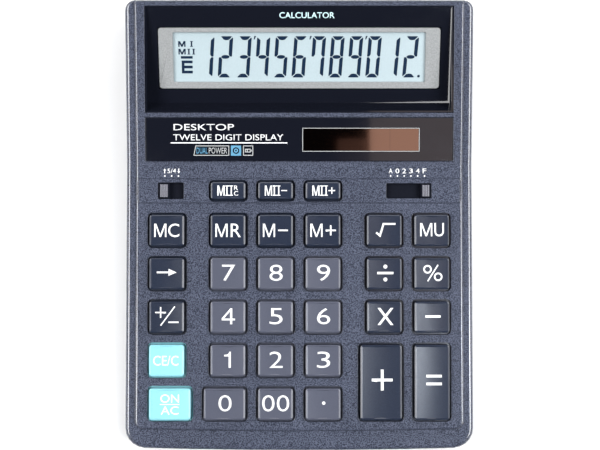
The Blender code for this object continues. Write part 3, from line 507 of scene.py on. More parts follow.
def make_solar_finish():
    """Amorphous silicon under glass: four dark cells with fine lines between them."""
    made, shader = material("solar_cell", (0.27, 0.16, 0.12), 0.05, 1.0, Coat_Weight=1.0, Coat_Roughness=0.03)
    place = node(made, "TexCoord")
    split = node(made, "SeparateXYZ")
    wire(made, place, split.inputs["Vector"], "Object")
    low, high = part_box("solar_cell")
    pitch = (high.x - low.x) / 4
    shift = node(made, "Math", operation="SUBTRACT")
    shift.inputs[1].default_value = low.x
    wire(made, split, shift.inputs[0], "X")
    cells = node(made, "Math", operation="PINGPONG")
    cells.inputs[1].default_value = pitch / 2
    wire(made, shift, cells.inputs[0])
    share = node(made, "Math", operation="DIVIDE")
    share.inputs[1].default_value = pitch / 2
    wire(made, cells, share.inputs[0])
    edge = ramp(made, share, [(0.0, (0.19, 0.11, 0.085)), (0.03, (0.27, 0.16, 0.12))])
    wire(made, edge, shader.inputs["Base Color"])
    film = noise(made, 16 * MM, 2.0)
    bumped(made, shader, [(film, 0.01 * MM)])
    return made


def make_lcd_finish():
    """The display's reflector under its polariser: pale, finely grained and glossy."""
    made, shader = material("lcd_field", (0.40, 0.485, 0.515), 0.30, Coat_Weight=0.6, Coat_Roughness=0.08)
    grain = noise(made, 0.5 * MM, 2.0)
    tinted(made, shader, grain, (0.3, 0.95), (0.7, 1.04))
    return made


case_plastic = make_case_plastic()
dark_key = moulded("dark_key", (0.017, 0.023, 0.041), 0.20, 0.5 * MM, 0.0006 * MM, 0.1, 0.015)
grey_key = moulded("grey_key", (0.074, 0.080, 0.110), 0.24, 0.5 * MM, 0.0006 * MM, 0.03, 0.015)
blue_key = moulded("blue_key", (0.235, 0.55, 0.62), 0.30, 0.5 * MM, 0.0006 * MM, 0.03, 0.015)
dark_plastic = moulded(
    "dark_plastic", (0.005, 0.006, 0.011), 0.6, 0.4 * MM, 0.002 * MM, Specular_IOR_Level=0.06
)
# Light grey for the slider's ribs: a painted highlight on the dark slider's top
grip_painted_highlight = moulded("grip_painted_highlight", (0.17, 0.17, 0.20), 0.4, 0.4 * MM, 0.006 * MM)
black_gloss = glossy("black_gloss", (0.006, 0.007, 0.012), 0.05, Coat_Weight=0.3, Coat_Roughness=0.03)
silver_paint = moulded("silver_paint", (0.25, 0.258, 0.26), 0.5, 0.6 * MM, 0.03 * MM, 0.14)
white_print = moulded("white_print", (0.80, 0.80, 0.80), 0.5, 0.3 * MM, 0.003 * MM, 0.03)
pale_print = moulded("pale_print", (0.62, 0.86, 0.88), 0.5, 0.3 * MM, 0.003 * MM, 0.03)
key_white = moulded("key_white", (0.93, 0.94, 0.95), 0.4, 0.4 * MM, 0.003 * MM, 0.03)
grey_print = moulded("grey_print", (0.40, 0.41, 0.41), 0.4, 0.3 * MM, 0.003 * MM, 0.05)
blue_print = moulded("blue_print", (0.09, 0.27, 0.42), 0.4, 0.3 * MM, 0.003 * MM, 0.05)
lcd_field = make_lcd_finish()
lcd_ink = moulded("lcd_ink", (0.003, 0.014, 0.038), 0.4, 0.5 * MM, 0.001 * MM, 0.1, Specular_IOR_Level=0.15)
solar_finish = make_solar_finish()
grey_rubber = moulded("grey_rubber", (0.25, 0.25, 0.26), 0.75, 0.6 * MM, 0.02 * MM)
zebra_rubber = moulded("zebra_rubber", (0.30, 0.20, 0.22), 0.75, 0.3 * MM, 0.02 * MM, 0.4)
black_rubber = moulded("black_rubber", (0.016, 0.016, 0.017), 0.82, 0.35 * MM, 0.03 * MM, 0.3)
board_green = make_board_green()
epoxy = glossy("epoxy", (0.010, 0.010, 0.011), 0.25)
cell_steel = metal("cell_steel", (0.70, 0.70, 0.72), 0.22)
contact_metal = metal("contact_metal", (0.75, 0.74, 0.70), 0.28, (1, 12, 1))
screw_steel = metal("screw_steel", (0.14, 0.14, 0.15), 0.4)
cable_plastic = moulded("cable_plastic", (0.62, 0.62, 0.60), 0.5, 0.8 * MM, 0.01 * MM)
wire_sheath = moulded("wire_sheath", (0.50, 0.03, 0.03), 0.45, 0.5 * MM, 0.01 * MM)

# Keys

DISH_DEPTH = 0.3 * MM
DISH_SINK = 0.12 * MM  # of the dish's sides, below the rim
DISH_RIM = 0.4 * MM  # from the top's edge to the dish, sloping into it
DISH_STRIPS = 10
CAP_SPACE = 0.2 * MM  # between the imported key's side and the cap's
CAP_DRAFT = 0.12 * MM  # how far the top is drawn in
RIM_ROUND = 0.1 * MM
RIM_WIDTH = 0.45 * MM  # of the slope round the top
RIM_RISE = 0.2 * MM
CAP_CORNER = 1.2 * MM
FLANGE_THICKNESS = 0.8 * MM
CAP_WALL = 1.0 * MM
STEM_SIZE = 4.4 * MM
LEGEND_PROUD = 0.03 * MM
LEGEND_DEPTH = 0.2 * MM


def make_cap(width, length, height, flange):
    """A key cap about the origin: drafted sides, a dished top, and a flange, a hollow and a stem below."""
    width, length = width - 2 * CAP_SPACE, length - 2 * CAP_SPACE
    cap = slab("cap", (-width / 2, -length / 2, 0), (width / 2, length / 2, height - RIM_RISE), CAP_CORNER)
    select(cap, "FACE", lambda middle, normal: normal.z > 0.9)
    draft = (1 - 2 * CAP_DRAFT / width, 1 - 2 * CAP_DRAFT / length, 1)
    bpy.ops.transform.resize(value=draft, center_override=(0, 0, 0))
    bpy.ops.mesh.bevel(offset=RIM_ROUND, segments=2, affect="EDGES")
    leave_edit()
    select(cap, "FACE", lambda middle, normal: normal.z > 0.99)
    bpy.ops.mesh.inset(thickness=RIM_WIDTH)
    bpy.ops.transform.translate(value=(0, 0, RIM_RISE))
    leave_edit()

    select(cap, "FACE", lambda middle, normal: normal.z > 0.9 and middle.z > height - 1e-6)
    bpy.ops.mesh.inset(thickness=DISH_RIM)
    leave_edit()
    edge = CAP_DRAFT + RIM_ROUND + RIM_WIDTH + DISH_RIM
    half = width / 2 - edge
    for n in range(1, DISH_STRIPS):
        select(cap, "FACE", lambda middle, normal: normal.z > 0.99 and abs(middle.x) < half)
        bpy.ops.mesh.bisect(plane_co=(half * (2 * n / DISH_STRIPS - 1), 0, 0), plane_no=(1, 0, 0))
        leave_edit()
    deep = cap.vertex_groups.new(name="dish")
    reach = (half + 1e-5, length / 2 - edge + 1e-5)
    tops = [
        vertex.index
        for vertex in cap.data.vertices
        if vertex.co.z > height - 1e-6 and abs(vertex.co.x) < reach[0] and abs(vertex.co.y) < reach[1]
    ]
    deep.add(tops, 1.0, "REPLACE")
    radius = (half**2 + (DISH_DEPTH - DISH_SINK) ** 2) / (2 * (DISH_DEPTH - DISH_SINK))
    bpy.ops.mesh.primitive_cylinder_add(
        vertices=round(2 * pi * radius / (0.4 * MM)),
        radius=radius,
        depth=1.5 * length,
        location=(0, 0, height - DISH_DEPTH + radius),
        rotation=(pi / 2, 0, 0),
    )
    hollow = started("hollow")
    shape(cap, "SHRINKWRAP", target=hollow, wrap_method="PROJECT", use_project_z=True, vertex_group="dish",
          use_negative_direction=True, use_positive_direction=False)
    bpy.data.objects.remove(hollow)

    select(cap, "FACE", lambda middle, normal: normal.z < -0.9)
    inside = FLANGE_THICKNESS + height / 2
    outer = (flange.x, flange.y)
    hollow = (width - 2 * CAP_WALL, length - 2 * CAP_WALL)
    stem = (STEM_SIZE, STEM_SIZE)
    steps = (((width, length), outer, -FLANGE_THICKNESS), (outer, hollow, inside), (hollow, stem, -inside))
    for old, new, move in steps:
        bpy.ops.mesh.extrude_region_move(TRANSFORM_OT_translate={"value": (0, 0, 0)})
        bpy.ops.transform.resize(value=(new[0] / old[0], new[1] / old[1], 1), center_override=(0, 0, 0))
        bpy.ops.mesh.extrude_region_move(TRANSFORM_OT_translate={"value": (0, 0, move)})
    leave_edit()
    soften(cap)
    shape(cap, "WEIGHTED_NORMAL", keep_sharp=True)
    return cap


def lay_legend(legend, cap):
    """Lays flat shapes on a cap's dished top, sunk a little into it."""
    reach = max(abs(vertex.co.x) for vertex in legend.data.vertices)
    pick(legend)
    bpy.ops.object.mode_set(mode="EDIT")
    cuts = max(2, round(2 * reach / (1.5 * MM)))
    for n in range(1, cuts):
        bpy.ops.mesh.select_all(action="SELECT")
        bpy.ops.mesh.bisect(plane_co=(reach * (2 * n / cuts - 1), 0, 0), plane_no=(1, 0, 0))
    bpy.ops.mesh.select_all(action="SELECT")
    bpy.ops.transform.translate(value=(0, 0, 10 * MM))
    leave_edit()
    shape(
        legend,
        "SHRINKWRAP",
        target=cap,
        wrap_method="PROJECT",
        use_project_z=True,
        use_negative_direction=True,
        use_positive_direction=False,
        offset=LEGEND_PROUD,
    )
    shape(legend, "SOLIDIFY", thickness=LEGEND_DEPTH, offset=-1)


def roman_two(width, height, stem, bar, x=0.0, y=0.0):
    """Two stems between a top and a bottom bar: an outline and the hole between the stems."""
    w, h = width / 2, height / 2
    inset = 0.14 * width
    low = [(w, -h), (w, bar - h), (w - inset, bar - h)]
    right = low + [(px, -py) for px, py in reversed(low)]
    outer = right + [(-px, py) for px, py in reversed(right)]
    hole = box_outline(2 * (w - inset - stem), height - 2 * bar)
    return [moved(outer, x, y), moved(hole, x, y)]


def drawn(*outlines):
    """A legend from outlines in millimetres."""
    return lambda: [flat_shape("sign", [[(x * MM, y * MM) for x, y in outline] for outline in outlines])]


LEGEND_DIGIT_HEIGHT = 7.3 * MM
LEGEND_DIGIT_WIDTH = 6.0 * MM
LEGEND_DIGIT_SPACE = 0.3 * MM


def digit_legend(text):
    width = LEGEND_DIGIT_WIDTH * len(text) + LEGEND_DIGIT_SPACE * (len(text) - 1)
    return lambda: [lettering(text, LEGEND_DIGIT_HEIGHT, width, weight=-0.006)]


def word_legend(text, width, height):
    return lambda: [lettering(text, height, width)]


def m_legend(*others, letter="", x=0.0, width=0.0):
    """A capital M on the left of a key, with outlines or another letter on its right."""

    def draw():
        pieces = drawn(letter_m(5.5, 6.0, 0.66, -2.95), *others)()
        if letter:
            pieces.append(lettering(letter, 6.1 * MM, width * MM, x * MM))
        return pieces

    return draw


def memory_two_legend(*others, letters=""):
    def draw():
        pieces = drawn(letter_m(3.3, 4.6, 0.55, -3.2), *roman_two(3.5, 4.6, 0.55, 0.4, 0.45), *others)()
        for letter, y in zip(letters, (1.25, -1.25)):
            pieces.append(lettering(letter, 2.1 * MM, 1.9 * MM, 3.6 * MM, y * MM, weight=0.012))
        return pieces

    return draw


def sign_legend():
    return [
        flat_shape("plus", [cross_outline(4.9 * MM, 0.6 * MM, -2.7 * MM, 1.9 * MM)]),
        flat_shape("slash", [stroke_outline([(-2.7 * MM, -4.0 * MM), (3.7 * MM, 4.6 * MM)], 0.55 * MM)]),
        flat_shape("minus", [box_outline(4.6 * MM, 0.65 * MM, 3.1 * MM, -2.5 * MM)]),
    ]


def on_clear_legend():
    return [
        lettering("ON", 3.7 * MM, 8.4 * MM, y=2.55 * MM),
        flat_shape("bar", [box_outline(8.8 * MM, 0.35 * MM, 0, -0.1 * MM)]),
        lettering("AC", 3.7 * MM, 8.0 * MM, y=-2.8 * MM),
    ]


ARROW = [(-4.5, -0.38), (0.8, -0.38), (0.8, -1.6), (4.4, 0), (0.8, 1.6), (0.8, 0.38), (-4.5, 0.38)]
ONE = [
    (0.1, -3.6), (1.1, -3.6), (1.1, 3.6), (0.4, 3.6), (0.15, 2.9), (-0.5, 2.4), (-1.9, 2.2), (-1.9, 1.5),
    (0.1, 1.5),
]
FOUR = [
    (0.75, -3.6), (1.7, -3.6), (1.7, -1.85), (2.95, -1.85), (2.95, -1.05), (1.7, -1.05), (1.7, 3.6),
    (0.85, 3.6), (-3.05, -0.95), (-3.05, -1.85), (0.75, -1.85),
]
FOUR_HOLE = [(0.75, -1.05), (0.75, 2.2), (-2.1, -1.05)]
ROOT = [(-4.1, -1.3), (-2.4, -2.7), (-0.8, 2.6), (4.6, 2.6)]

LEGENDS = {str(n): digit_legend(str(n)) for n in range(10)} | {
    "1": drawn(ONE),
    "4": drawn(FOUR, FOUR_HOLE),
    "00": digit_legend("00"),
    "point": drawn(round_outline(0.75, 0, -0.2)),
    "memory2_recall": memory_two_legend(letters="RC"),
    "memory2_minus": memory_two_legend(box_outline(2.6, 0.45, 3.9, 0)),
    "memory2_plus": memory_two_legend(cross_outline(3.0, 0.5, 4.0, 0)),
    "memory_clear": m_legend(letter="C", x=3.1, width=5.0),
    "memory_recall": m_legend(letter="R", x=3.5, width=4.6),
    "memory_minus": m_legend(box_outline(4.4, 0.7, 3.4, 0)),
    "memory_plus": m_legend(cross_outline(4.6, 0.7, 3.5, 0)),
    "markup": m_legend(letter="U", x=2.9, width=4.3),
    "root": drawn(stroke_outline(ROOT, 0.85)),
    "shift": drawn(ARROW),
    "sign": sign_legend,
    "divide": drawn(box_outline(7.3, 1.05), round_outline(0.88, 0, 2.9), round_outline(0.88, 0, -2.9)),
    "percent": drawn(
        round_outline(1.95, -2.4, 1.7), round_outline(1.2, -2.4, 1.7), round_outline(1.95, 2.4, -1.7),
        round_outline(1.2, 2.4, -1.7), stroke_outline([(-2.35, -3.7), (2.35, 3.7)], 0.62),
    ),
    "multiply": drawn(letter_x(7.2, 7.7, 1.3)),
    "minus": drawn(box_outline(6.9, 1.05)),
    "plus": drawn(cross_outline(9.4, 1.25)),
    "equals": drawn(box_outline(7.0, 1.2, 0, 1.75), box_outline(7.0, 1.2, 0, -1.75)),
    "clear_entry": word_legend("CE/C", 11.4 * MM, 4.4 * MM),
    "on_clear": on_clear_legend,
}
# Legends that stand off their key's middle, in millimetres
LEGEND_SHIFT = {name: (0.5, 0.3) for name in ("root", "markup", "divide", "percent", "multiply", "minus")}
LEGEND_SHIFT |= {str(n): (0.25, 0.4) for n in range(10)} | {"00": (0.1, 0.4), "point": (0.3, 0.7)}
LEGEND_SHIFT |= {"plus": (0.5, 1.1), "equals": (0.9, 1.1), "clear_entry": (-0.3, 0)}
LEGEND_SHIFT |= {"shift": (0, 0.6), "sign": (0, 0.2)}
KEY_FINISH = {"dark_key": dark_key, "grey_key": grey_key, "blue_key": blue_key}
slots = {part["node"]: part["material_slot"] for part in frame["record"]["subparts"]}


def make_keys():
    """Each key's cap and legend. Caps of one size are modelled once."""
    caps = {}
    for key, draw in LEGENDS.items():
        node_name = "key_" + key
        low, high = flat_box(node_name, deck_tilt)
        cap_low, cap_high = flat_box(node_name, deck_tilt, (low.z + high.z) / 2)
        flange, size = high - low, cap_high - cap_low
        height = flange.z - FLANGE_THICKNESS
        measure = (round(size.x, 5), round(size.y, 5))
        if measure not in caps:
            caps[measure] = make_cap(size.x, size.y, height, flange)
        legend = joined(draw(), "legend_" + key)
        shift = LEGEND_SHIFT.get(key, (0, 0))
        settle(legend, (shift[0] * MM, shift[1] * MM, 0))
        lay_legend(legend, caps[measure])
        cap = copied(caps[measure], "cap_" + key)
        x, y, _ = middle_of((low, high))
        z = low.z + FLANGE_THICKNESS
        slot = slots[node_name]
        declare(settle(cap, (x, y, z), deck_tilt), KEY_FINISH[slot], node_name, slot, node_name)
        ink = key_white if slot == "blue_key" else white_print
        declare(settle(legend, (x, y, z), deck_tilt), ink, node_name, slot)
    for cap in caps.values():
        bpy.data.objects.remove(cap)


# Case and panels

STRIP_LINE = 0.35 * MM


def plane_y(y, height, tilt):
    """Where a world Y falls on a tilted plane at a height."""
    return (y + height * sin(tilt)) / cos(tilt)


def deck_points():
    turn = Matrix.Rotation(-deck_tilt, 3, "X")
    panel = flat_box("lower_panel", deck_tilt)[0].y
    points = [turn @ vertex.co for vertex in frame["nodes"]["top_case"].data.vertices]
    return [point for point in points if point.y < panel - 1 * MM]


def strip_box():
    """The function strip, which stands a little above the deck around it."""
    points = deck_points()
    height = max(point.z for point in points)
    points = [point for point in points if point.z > height - 0.05 * MM]
    return ends_of(points)


def make_case():
    low, high = strip_box()
    line, depth = Vector((STRIP_LINE, STRIP_LINE, 0)), Vector((0, 0, 1.2 * MM))
    groove = slab("groove", low - line - depth / 2, high + line + depth, 1.8 * MM, 4)
    carve(groove, slab("strip", low - depth, high + 2 * depth, 1.5 * MM, 4))
    top = refined("top_case", "top_shell", 0.12 * MM, cutters=[settle(groove, (0, 0, 0), deck_tilt)])
    declare(top, case_plastic, "case", "case_plastic", "top_case")
    bottom = refined("bottom_case", "bottom_shell", 0.12 * MM)
    declare(bottom, case_plastic, "case", "case_plastic", "bottom_case")


def make_panels():
    fascia = refined("display_fascia", "display_surround", 0)
    declare(fascia, black_gloss, "case", "black_gloss", "display_fascia")
    panel = refined("lower_panel", "solar_panel", 0.12 * MM)
    declare(panel, black_gloss, "case", "black_gloss", "lower_panel")
    low, high = flat_box("lcd_bezel", display_tilt)
    spare = Vector((0, 0, MM))
    outline = settle(slab("outline", low - spare, high + spare, 1.4 * MM), (0, 0, 0), display_tilt)
    bezel = refined("lcd_bezel", "display_bezel", 0.3 * MM, 3, within=outline)
    declare(bezel, silver_paint, "case", "silver_paint", "lcd_bezel")
    cell = refined("solar_cell", "solar_window", 0.1 * MM)
    declare(cell, solar_finish, "case", "solar_glass", "solar_cell")
    glass = refined("lcd_glass", "display_glass", 0.15 * MM)
    declare(glass, lcd_field, "case", "lcd_glass", "lcd_glass")


# Display figures

SEGMENTS = {
    "0": "abcdef", "1": "bc", "2": "abged", "3": "abgcd", "4": "fgbc",
    "5": "afgcd", "6": "afgcde", "7": "fabc", "8": "abcdefg", "9": "abcdfg",
}
DIGIT_WIDTH = 6.0 * MM
DIGIT_HEIGHT = 18.8 * MM
DIGIT_PITCH = 8.46 * MM
DIGIT_SLANT = 0.075
FIRST_DIGIT_X = -42.2 * MM
DIGITS_FROM_TOP = 3.95 * MM  # from the bezel's rear edge
SEGMENT_WIDTH = 1.6 * MM
SEGMENT_SPACE = 0.16 * MM


def segment_outlines(figure):
    """The outlines of one figure's segments, upright and centred."""
    w, h, t, s = DIGIT_WIDTH / 2, DIGIT_HEIGHT / 2, SEGMENT_WIDTH, SEGMENT_SPACE
    side = [(w - 0.1 * t, s), (w, 0.3 * t), (w, h - 0.6 * t), (w - 0.15 * t, h - 0.35 * t)]
    side += [(w - t, h - t - 1.4 * s), (w - t, s + 0.62 * t), (w - 0.6 * t, s)]
    half = [(0, h - 1.12 * t), (w - 1.65 * t, h - 1.1 * t), (w - 1.2 * t, h - t), (w - t, h - 0.86 * t)]
    cap = mirrored(half + [(w - 0.32 * t, h - 0.1 * t), (w - 0.55 * t, h), (0, h)])
    reach = w - 0.6 * t - s
    lens = [(reach * cos(turn), 0.54 * t * sin(turn)) for turn in (2 * pi * n / 20 for n in range(20))]
    drawn_segments = {
        "a": cap,
        "b": side,
        "c": [(x, -y) for x, y in side],
        "d": [(x, -y) for x, y in cap],
        "e": [(-x, -y) for x, y in side],
        "f": [(-x, y) for x, y in side],
        "g": lens,
    }
    return [drawn_segments[letter] for letter in SEGMENTS[figure]]


def make_figures():
    low, high = flat_box("lcd_bezel", display_tilt)
    glass = flat_box("lcd_glass", display_tilt)[1]
    middle_y = high.y - DIGITS_FROM_TOP - DIGIT_HEIGHT / 2

    def slanted(outline, x):
        return [(x + px + py * DIGIT_SLANT, middle_y + py) for px, py in outline]

    outlines = []
    for n, figure in enumerate(LCD_FIGURES):
        x = FIRST_DIGIT_X + n * DIGIT_PITCH
        outlines += [slanted(outline, x) for outline in segment_outlines(figure)]
        if n in (2, 5, 8):
            mark = [(1.2, 9.5), (2.05, 9.5), (1.45, 7.9), (1.05, 7.9)]
            outlines.append(slanted([(DIGIT_WIDTH / 2 + (px - 0.1) * MM, py * MM) for px, py in mark], x))
    last = FIRST_DIGIT_X + (len(LCD_FIGURES) - 1) * DIGIT_PITCH
    outlines.append(slanted(round_outline(0.62 * MM, DIGIT_WIDTH / 2 + 1.5 * MM, -8.8 * MM), last))
    top = middle_y + DIGIT_HEIGHT / 2
    signs = [letter_m(3.3, 2.6, 0.6, -53.5, -3.5), letter_m(3.3, 2.6, 0.6, -53.5, -7.0)]
    for x, y in ((-49.1, -3.5), (-50.4, -7.0), (-48.2, -7.0)):
        serif, stem = 0.65, 0.34
        half = [(0, -1.3), (serif, -1.3), (serif, -1.0), (stem, -1.0)]
        half += [(stem, 1.0), (serif, 1.0), (serif, 1.3), (0, 1.3)]
        signs.append(moved(mirrored(half), x, y))
    signs += [box_outline(5.4, 1.15, -51.4, -9.6), letter_e(5.0, 5.9, 1.25, -51.3, -14.0)]
    outlines += [[(x * MM, top + y * MM) for x, y in sign] for sign in signs]
    pieces = [flat_shape("figures", outlines)]
    figures = printed(pieces, "display_figures", 0.04 * MM)
    declare(settle(figures, (0, 0, glass.z), display_tilt), lcd_ink, "case", "lcd_glass")


# Prints on the case and panels, and a thin light grey line round the solar window

DOT_PITCH = 3.07 * MM


def scaled(outlines, x=0.0, y=0.0):
    """Outlines in millimetres, brought to metres and moved."""
    return [[(x + px * MM, y + py * MM) for px, py in outline] for outline in outlines]


def print_on(pieces, name, height, tilt, ink, slot):
    declare(settle(printed(pieces, name), (0, 0, height), tilt), ink, "case", slot)


def make_panel_prints():
    low, high = flat_box("lower_panel", upper_tilt)
    line_y = low.y + 8.2 * MM
    words = [
        lettering("DESKTOP", 2.9 * MM, 27.5 * MM, -43.3 * MM, line_y + 7.1 * MM, weight=0.004),
        lettering("TWELVE DIGIT DISPLAY", 2.8 * MM, 50.0 * MM, -32.2 * MM, line_y + 2.5 * MM, weight=0.004),
        flat_shape("underline", [box_outline(53.0 * MM, 0.5 * MM, -31.9 * MM, line_y)]),
    ]
    print_on(words, "panel_words", high.z, upper_tilt, white_print, "black_gloss")
    around = scaled(frame_outlines(16.2, 4.6, 0.35, lean=0.9), -39.9 * MM, line_y - 3.5 * MM)
    power = [flat_shape("box", around)]
    power.append(lettering("POWER", 2.7 * MM, 8.3 * MM, -36.9 * MM, line_y - 3.5 * MM))
    cell = frame_outlines(4.6, 4.6, 0.35) + [box_outline(2.6, 1.6, -0.15), box_outline(0.35, 0.8, 1.45)]
    cell += [box_outline(1.9, 0.9, -0.15), box_outline(0.45, 0.9, -0.4)]
    power.append(flat_shape("cell", scaled(cell, -23.2 * MM, line_y - 3.5 * MM)))
    print_on(power, "panel_power", high.z, upper_tilt, grey_print, "black_gloss")
    sun = [box_outline(4.6, 4.6), round_outline(1.5), round_outline(0.95), round_outline(0.4)]
    dual = [flat_shape("sun", scaled(sun, -28.7 * MM, line_y - 3.5 * MM))]
    dual.append(lettering("DUAL", 2.7 * MM, 5.0 * MM, -44.1 * MM, line_y - 3.5 * MM))
    print_on(dual, "panel_sun", high.z, upper_tilt, blue_print, "black_gloss")

    # A thin light grey line laid on the panel round the solar window.
    low, high = flat_box("solar_cell", upper_tilt)
    size, middle = (high - low) / MM, middle_of((low, high))
    edge = frame_outlines(size.x + 0.5, size.y + 0.5, 0.25)
    panel = flat_box("lower_panel", upper_tilt)[1].z
    outline = [flat_shape("outline", scaled(edge, middle.x, middle.y))]
    print_on(outline, "solar_outline", panel, upper_tilt, grey_print, "black_gloss")


def make_display_word():
    """A plain word on the display panel, above the bezel."""
    high = flat_box("lcd_bezel", display_tilt)[1]
    word = [lettering("CALCULATOR", 2.7 * MM, 25 * MM, 3.5 * MM, high.y + 5.6 * MM, weight=0.012)]
    height = face_height("display_fascia", display_tilt)
    print_on(word, "display_word", height, display_tilt, pale_print, "black_gloss")


def make_switch_prints():
    low, high = strip_box()
    height = low.z - 0.3 * MM
    dots_y, words_y = (plane_y(y * MM, height, deck_tilt) for y in (22.4, 24.7))
    marks = []
    for first, count in ((-61.0, 3), (41.5, 6)):
        dots = [round_outline(0.36 * MM, first * MM + n * DOT_PITCH, dots_y, 12) for n in range(count)]
        marks.append(flat_shape("dots", dots))
    for n, mark in enumerate("A0234F"):
        marks.append(lettering(mark, 2.2 * MM, 1.75 * MM, 41.5 * MM + n * DOT_PITCH, words_y, weight=0.008))
    marks.append(lettering("5/4", 2.1 * MM, 3.9 * MM, -57.9 * MM, words_y, weight=0.008))
    arrow = [(-0.2, -1.1), (0.2, -1.1), (0.2, 0.2), (0.6, 0.2), (0, 1.15), (-0.6, 0.2), (-0.2, 0.2)]
    marks.append(flat_shape("up", scaled([arrow], -61.1 * MM, words_y)))
    marks.append(flat_shape("down", scaled([[(x, -y) for x, y in arrow]], -54.7 * MM, words_y)))
    print_on(marks, "switch_marks", height, deck_tilt, white_print, "case_plastic")


GRIP_SHARE = 0.72  # of the slider's block that the ribbed cap covers
GRIP_MARGIN = 0.6 * MM  # of the block before and behind the ribs
RIBS = 4


def make_switches():
    for name in ("rounding_knob", "decimal_knob"):
        slider = refined(name, name.replace("knob", "slider"), 0.08 * MM)
        declare(slider, dark_plastic, name, "dark_plastic", name)
        top = flat_box(name, deck_tilt)[1].z
        low, high = flat_box(name, deck_tilt, top - 0.2 * MM)
        width, length = GRIP_SHARE * (high.x - low.x), high.y - low.y - 2 * GRIP_MARGIN
        pitch = width / RIBS
        ribs = []
        for n in range(RIBS):
            x = -width / 2 + (n + 0.5) * pitch
            bpy.ops.mesh.primitive_cylinder_add(
                vertices=16, radius=0.42 * pitch, depth=length, location=(x, 0, 0), rotation=(pi / 2, 0, 0)
            )
            ribs.append(started("rib"))
        cap = joined(ribs, name.replace("knob", "grip"))
        soften(cap)
        x = middle_of((low, high)).x
        # The ribs are light grey, a painted highlight on the slider's dark top.
        declare(settle(cap, (x, middle_of((low, high)).y, top), deck_tilt), grip_painted_highlight, name, "dark_plastic")


DIMPLE_RADIUS = 14 * MM
DIMPLE_DEPTH = 0.25 * MM
COVER_ARROW = [(-3 * MM, 0), (3 * MM, 0), (0, 3.6 * MM)]
COVER_ARROW_DEPTH = 0.6 * MM
COVER_ARROW_PLACE = 0.28  # share of the battery cover's length, from its front edge
CROSS_SHARE = 0.55  # of the screw head's width
CROSS_TAPER = 0.55  # narrow end over open end
CROSS_DEPTH = 0.9 * MM


def cross_head(radius, depth):
    """A cutter for a cross recess, its open end at the origin and its narrow end up."""
    cutter = flat_shape("cross", [cross_outline(2 * radius, 0.5 * radius)])
    shape(cutter, "SOLIDIFY", thickness=2 * depth, offset=0)
    select(cutter, "FACE", lambda middle, normal: normal.z > 0.9)
    bpy.ops.transform.resize(value=(CROSS_TAPER, CROSS_TAPER, 1), center_override=(0, 0, depth))
    leave_edit()
    return cutter


def make_underside():
    low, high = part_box("battery_door")
    middle = middle_of((low, high))
    arrow = flat_shape("arrow", [COVER_ARROW])
    shape(arrow, "SOLIDIFY", thickness=2 * COVER_ARROW_DEPTH, offset=0)
    settle(arrow, (middle.x, low.y + COVER_ARROW_PLACE * (high.y - low.y), low.z))
    door = refined("battery_door", "battery_cover", 0.12 * MM, cutters=[arrow])
    declare(door, case_plastic, "battery_door", "case_plastic", "battery_door")
    for corner in ("front_left", "front_right", "rear_left", "rear_right"):
        low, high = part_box("foot_" + corner)
        centre = middle_of((low, high))
        bpy.ops.mesh.primitive_uv_sphere_add(
            segments=48,
            ring_count=24,
            radius=DIMPLE_RADIUS,
            location=(centre.x, centre.y, low.z + DIMPLE_DEPTH - DIMPLE_RADIUS),
        )
        dimple = started("dimple")
        foot = refined("foot_" + corner, "rubber_foot_" + corner, 0.15 * MM, 3, cutters=[dimple])
        declare(foot, black_rubber, "case", "black_rubber", "foot_" + corner)
        low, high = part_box("screw_" + corner)
        centre = middle_of((low, high))
        radius = (high.x - low.x) / 2
        cross = settle(cross_head(CROSS_SHARE * radius, CROSS_DEPTH), (centre.x, centre.y, low.z))
        screw = refined("screw_" + corner, "case_screw_" + corner, 0.08 * MM, cutters=[cross])
        declare(screw, screw_steel, "case", "screw_steel", "screw_" + corner)


def finish_inner_nodes():
    inner = {
        "main_board": board_green,
        "display_board": board_green,
        "chip_blob": epoxy,
        "button_cell": cell_steel,
        "contact_plus": contact_metal,
        "contact_minus": contact_metal,
        "ribbon_cable": cable_plastic,
        "solar_lead": wire_sheath,
        "zebra_strip": zebra_rubber,
        "keypad_mat": grey_rubber,
    }
    for name, finish in inner.items():
        materials = frame["nodes"][name].data.materials
        materials.clear()
        materials.append(finish)


# Floor, lights and camera


def make_stage():
    bpy.ops.mesh.primitive_plane_add(size=6)
    floor = started("floor")
    finish, shader = material("floor_white", (0.86, 0.86, 0.86), 0.9)
    tinted(finish, shader, noise(finish, 0.4, 2.0), (0.3, 0.985), (0.7, 1.0))
    floor.data.materials.append(finish)


def soft_box(name, place, size, watts, colour=(1, 1, 1), aim=(0, 0, 0.01)):
    light = bpy.data.lights.new(name, "AREA")
    light.shape = "RECTANGLE"
    light.size, light.size_y = size
    light.energy = watts
    light.color = colour
    lamp = bpy.data.objects.new(name, light)
    lamp.location = place
    lamp.rotation_euler = (Vector(aim) - Vector(place)).to_track_quat("-Z", "Y").to_euler()
    bpy.context.scene.collection.objects.link(lamp)


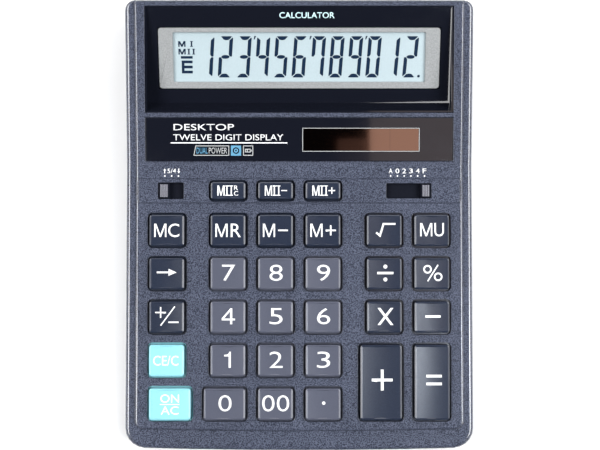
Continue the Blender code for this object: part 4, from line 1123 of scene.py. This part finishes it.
def make_lights():
    """Boxes at the sides and rear, two narrow strips, and two overhead patches that the panels mirror."""
    soft_box("left_box", (-0.66, 0, 0.75), (1.0, 0.5), 11)
    soft_box("right_box", (0.66, 0, 0.75), (1.0, 0.5), 11)
    soft_box("rear_box", (0, 0.95, 0.7), (1.2, 0.4), 5)
    soft_box("right_strip", (0.42, -0.2, 0.85), (0.12, 0.5), 2.6, (0.84, 0.91, 1), aim=(0.25, -0.2, 0))
    soft_box("left_strip", (-0.44, -0.2, 0.85), (0.16, 0.5), 0.8, aim=(-0.2, -0.2, 0))
    soft_box("warm_patch", (0.1985, -0.09, 0.9), (0.23, 0.16), 0.11, (1, 0.80, 0.70), aim=(0.1985, -0.09, 0))
    soft_box(
        "dim_patch", (0.064, -0.105, 0.9), (0.038, 0.04), 0.0006, (1, 0.70, 0.60), aim=(0.064, -0.105, 0)
    )
    world = bpy.data.worlds.new("studio")
    world.use_nodes = True
    sky = world.node_tree.nodes["Background"]
    place = node(world, "TexCoord")
    split = node(world, "SeparateXYZ")
    wire(world, place, split.inputs["Vector"], "Generated")
    height = ramp(world, split, [(0.10, (0.46, 0.48, 0.52)), (0.40, (0.006, 0.006, 0.008))])
    world.node_tree.links.new(split.outputs["Z"], height.inputs["Fac"])
    front = ramp(world, split, [(0.1, 0.12), (0.6, 1.0)])
    spread = node(world, "MapRange")
    spread.inputs["From Min"].default_value = -1
    wire(world, split, spread.inputs["Value"], "Y")
    wire(world, spread, front.inputs["Fac"])
    both = node(world, "MixRGB", blend_type="MULTIPLY", Fac=1.0)
    wire(world, height, both.inputs["Color1"])
    wire(world, front, both.inputs["Color2"])
    wire(world, both, sky.inputs["Color"])
    bpy.context.scene.world = world
    bpy.context.scene.view_settings.view_transform = "Standard"


def make_camera():
    """Seen almost from above, from a little in front of the middle."""
    camera = bpy.data.cameras.new("camera")
    camera.sensor_width = 36
    camera.lens = 71.69
    camera.clip_end = 10
    holder = bpy.data.objects.new("camera", camera)
    holder.location = (0.000341, -0.051749, 0.557422)
    holder.rotation_euler = (radians(5.5), 0, 0)
    bpy.context.scene.collection.objects.link(holder)
    bpy.context.scene.camera = holder


make_camera()
make_stage()
make_lights()
make_case()
make_panels()
make_figures()
make_panel_prints()
make_display_word()
make_switch_prints()
make_keys()
make_switches()
make_underside()
finish_inner_nodes()
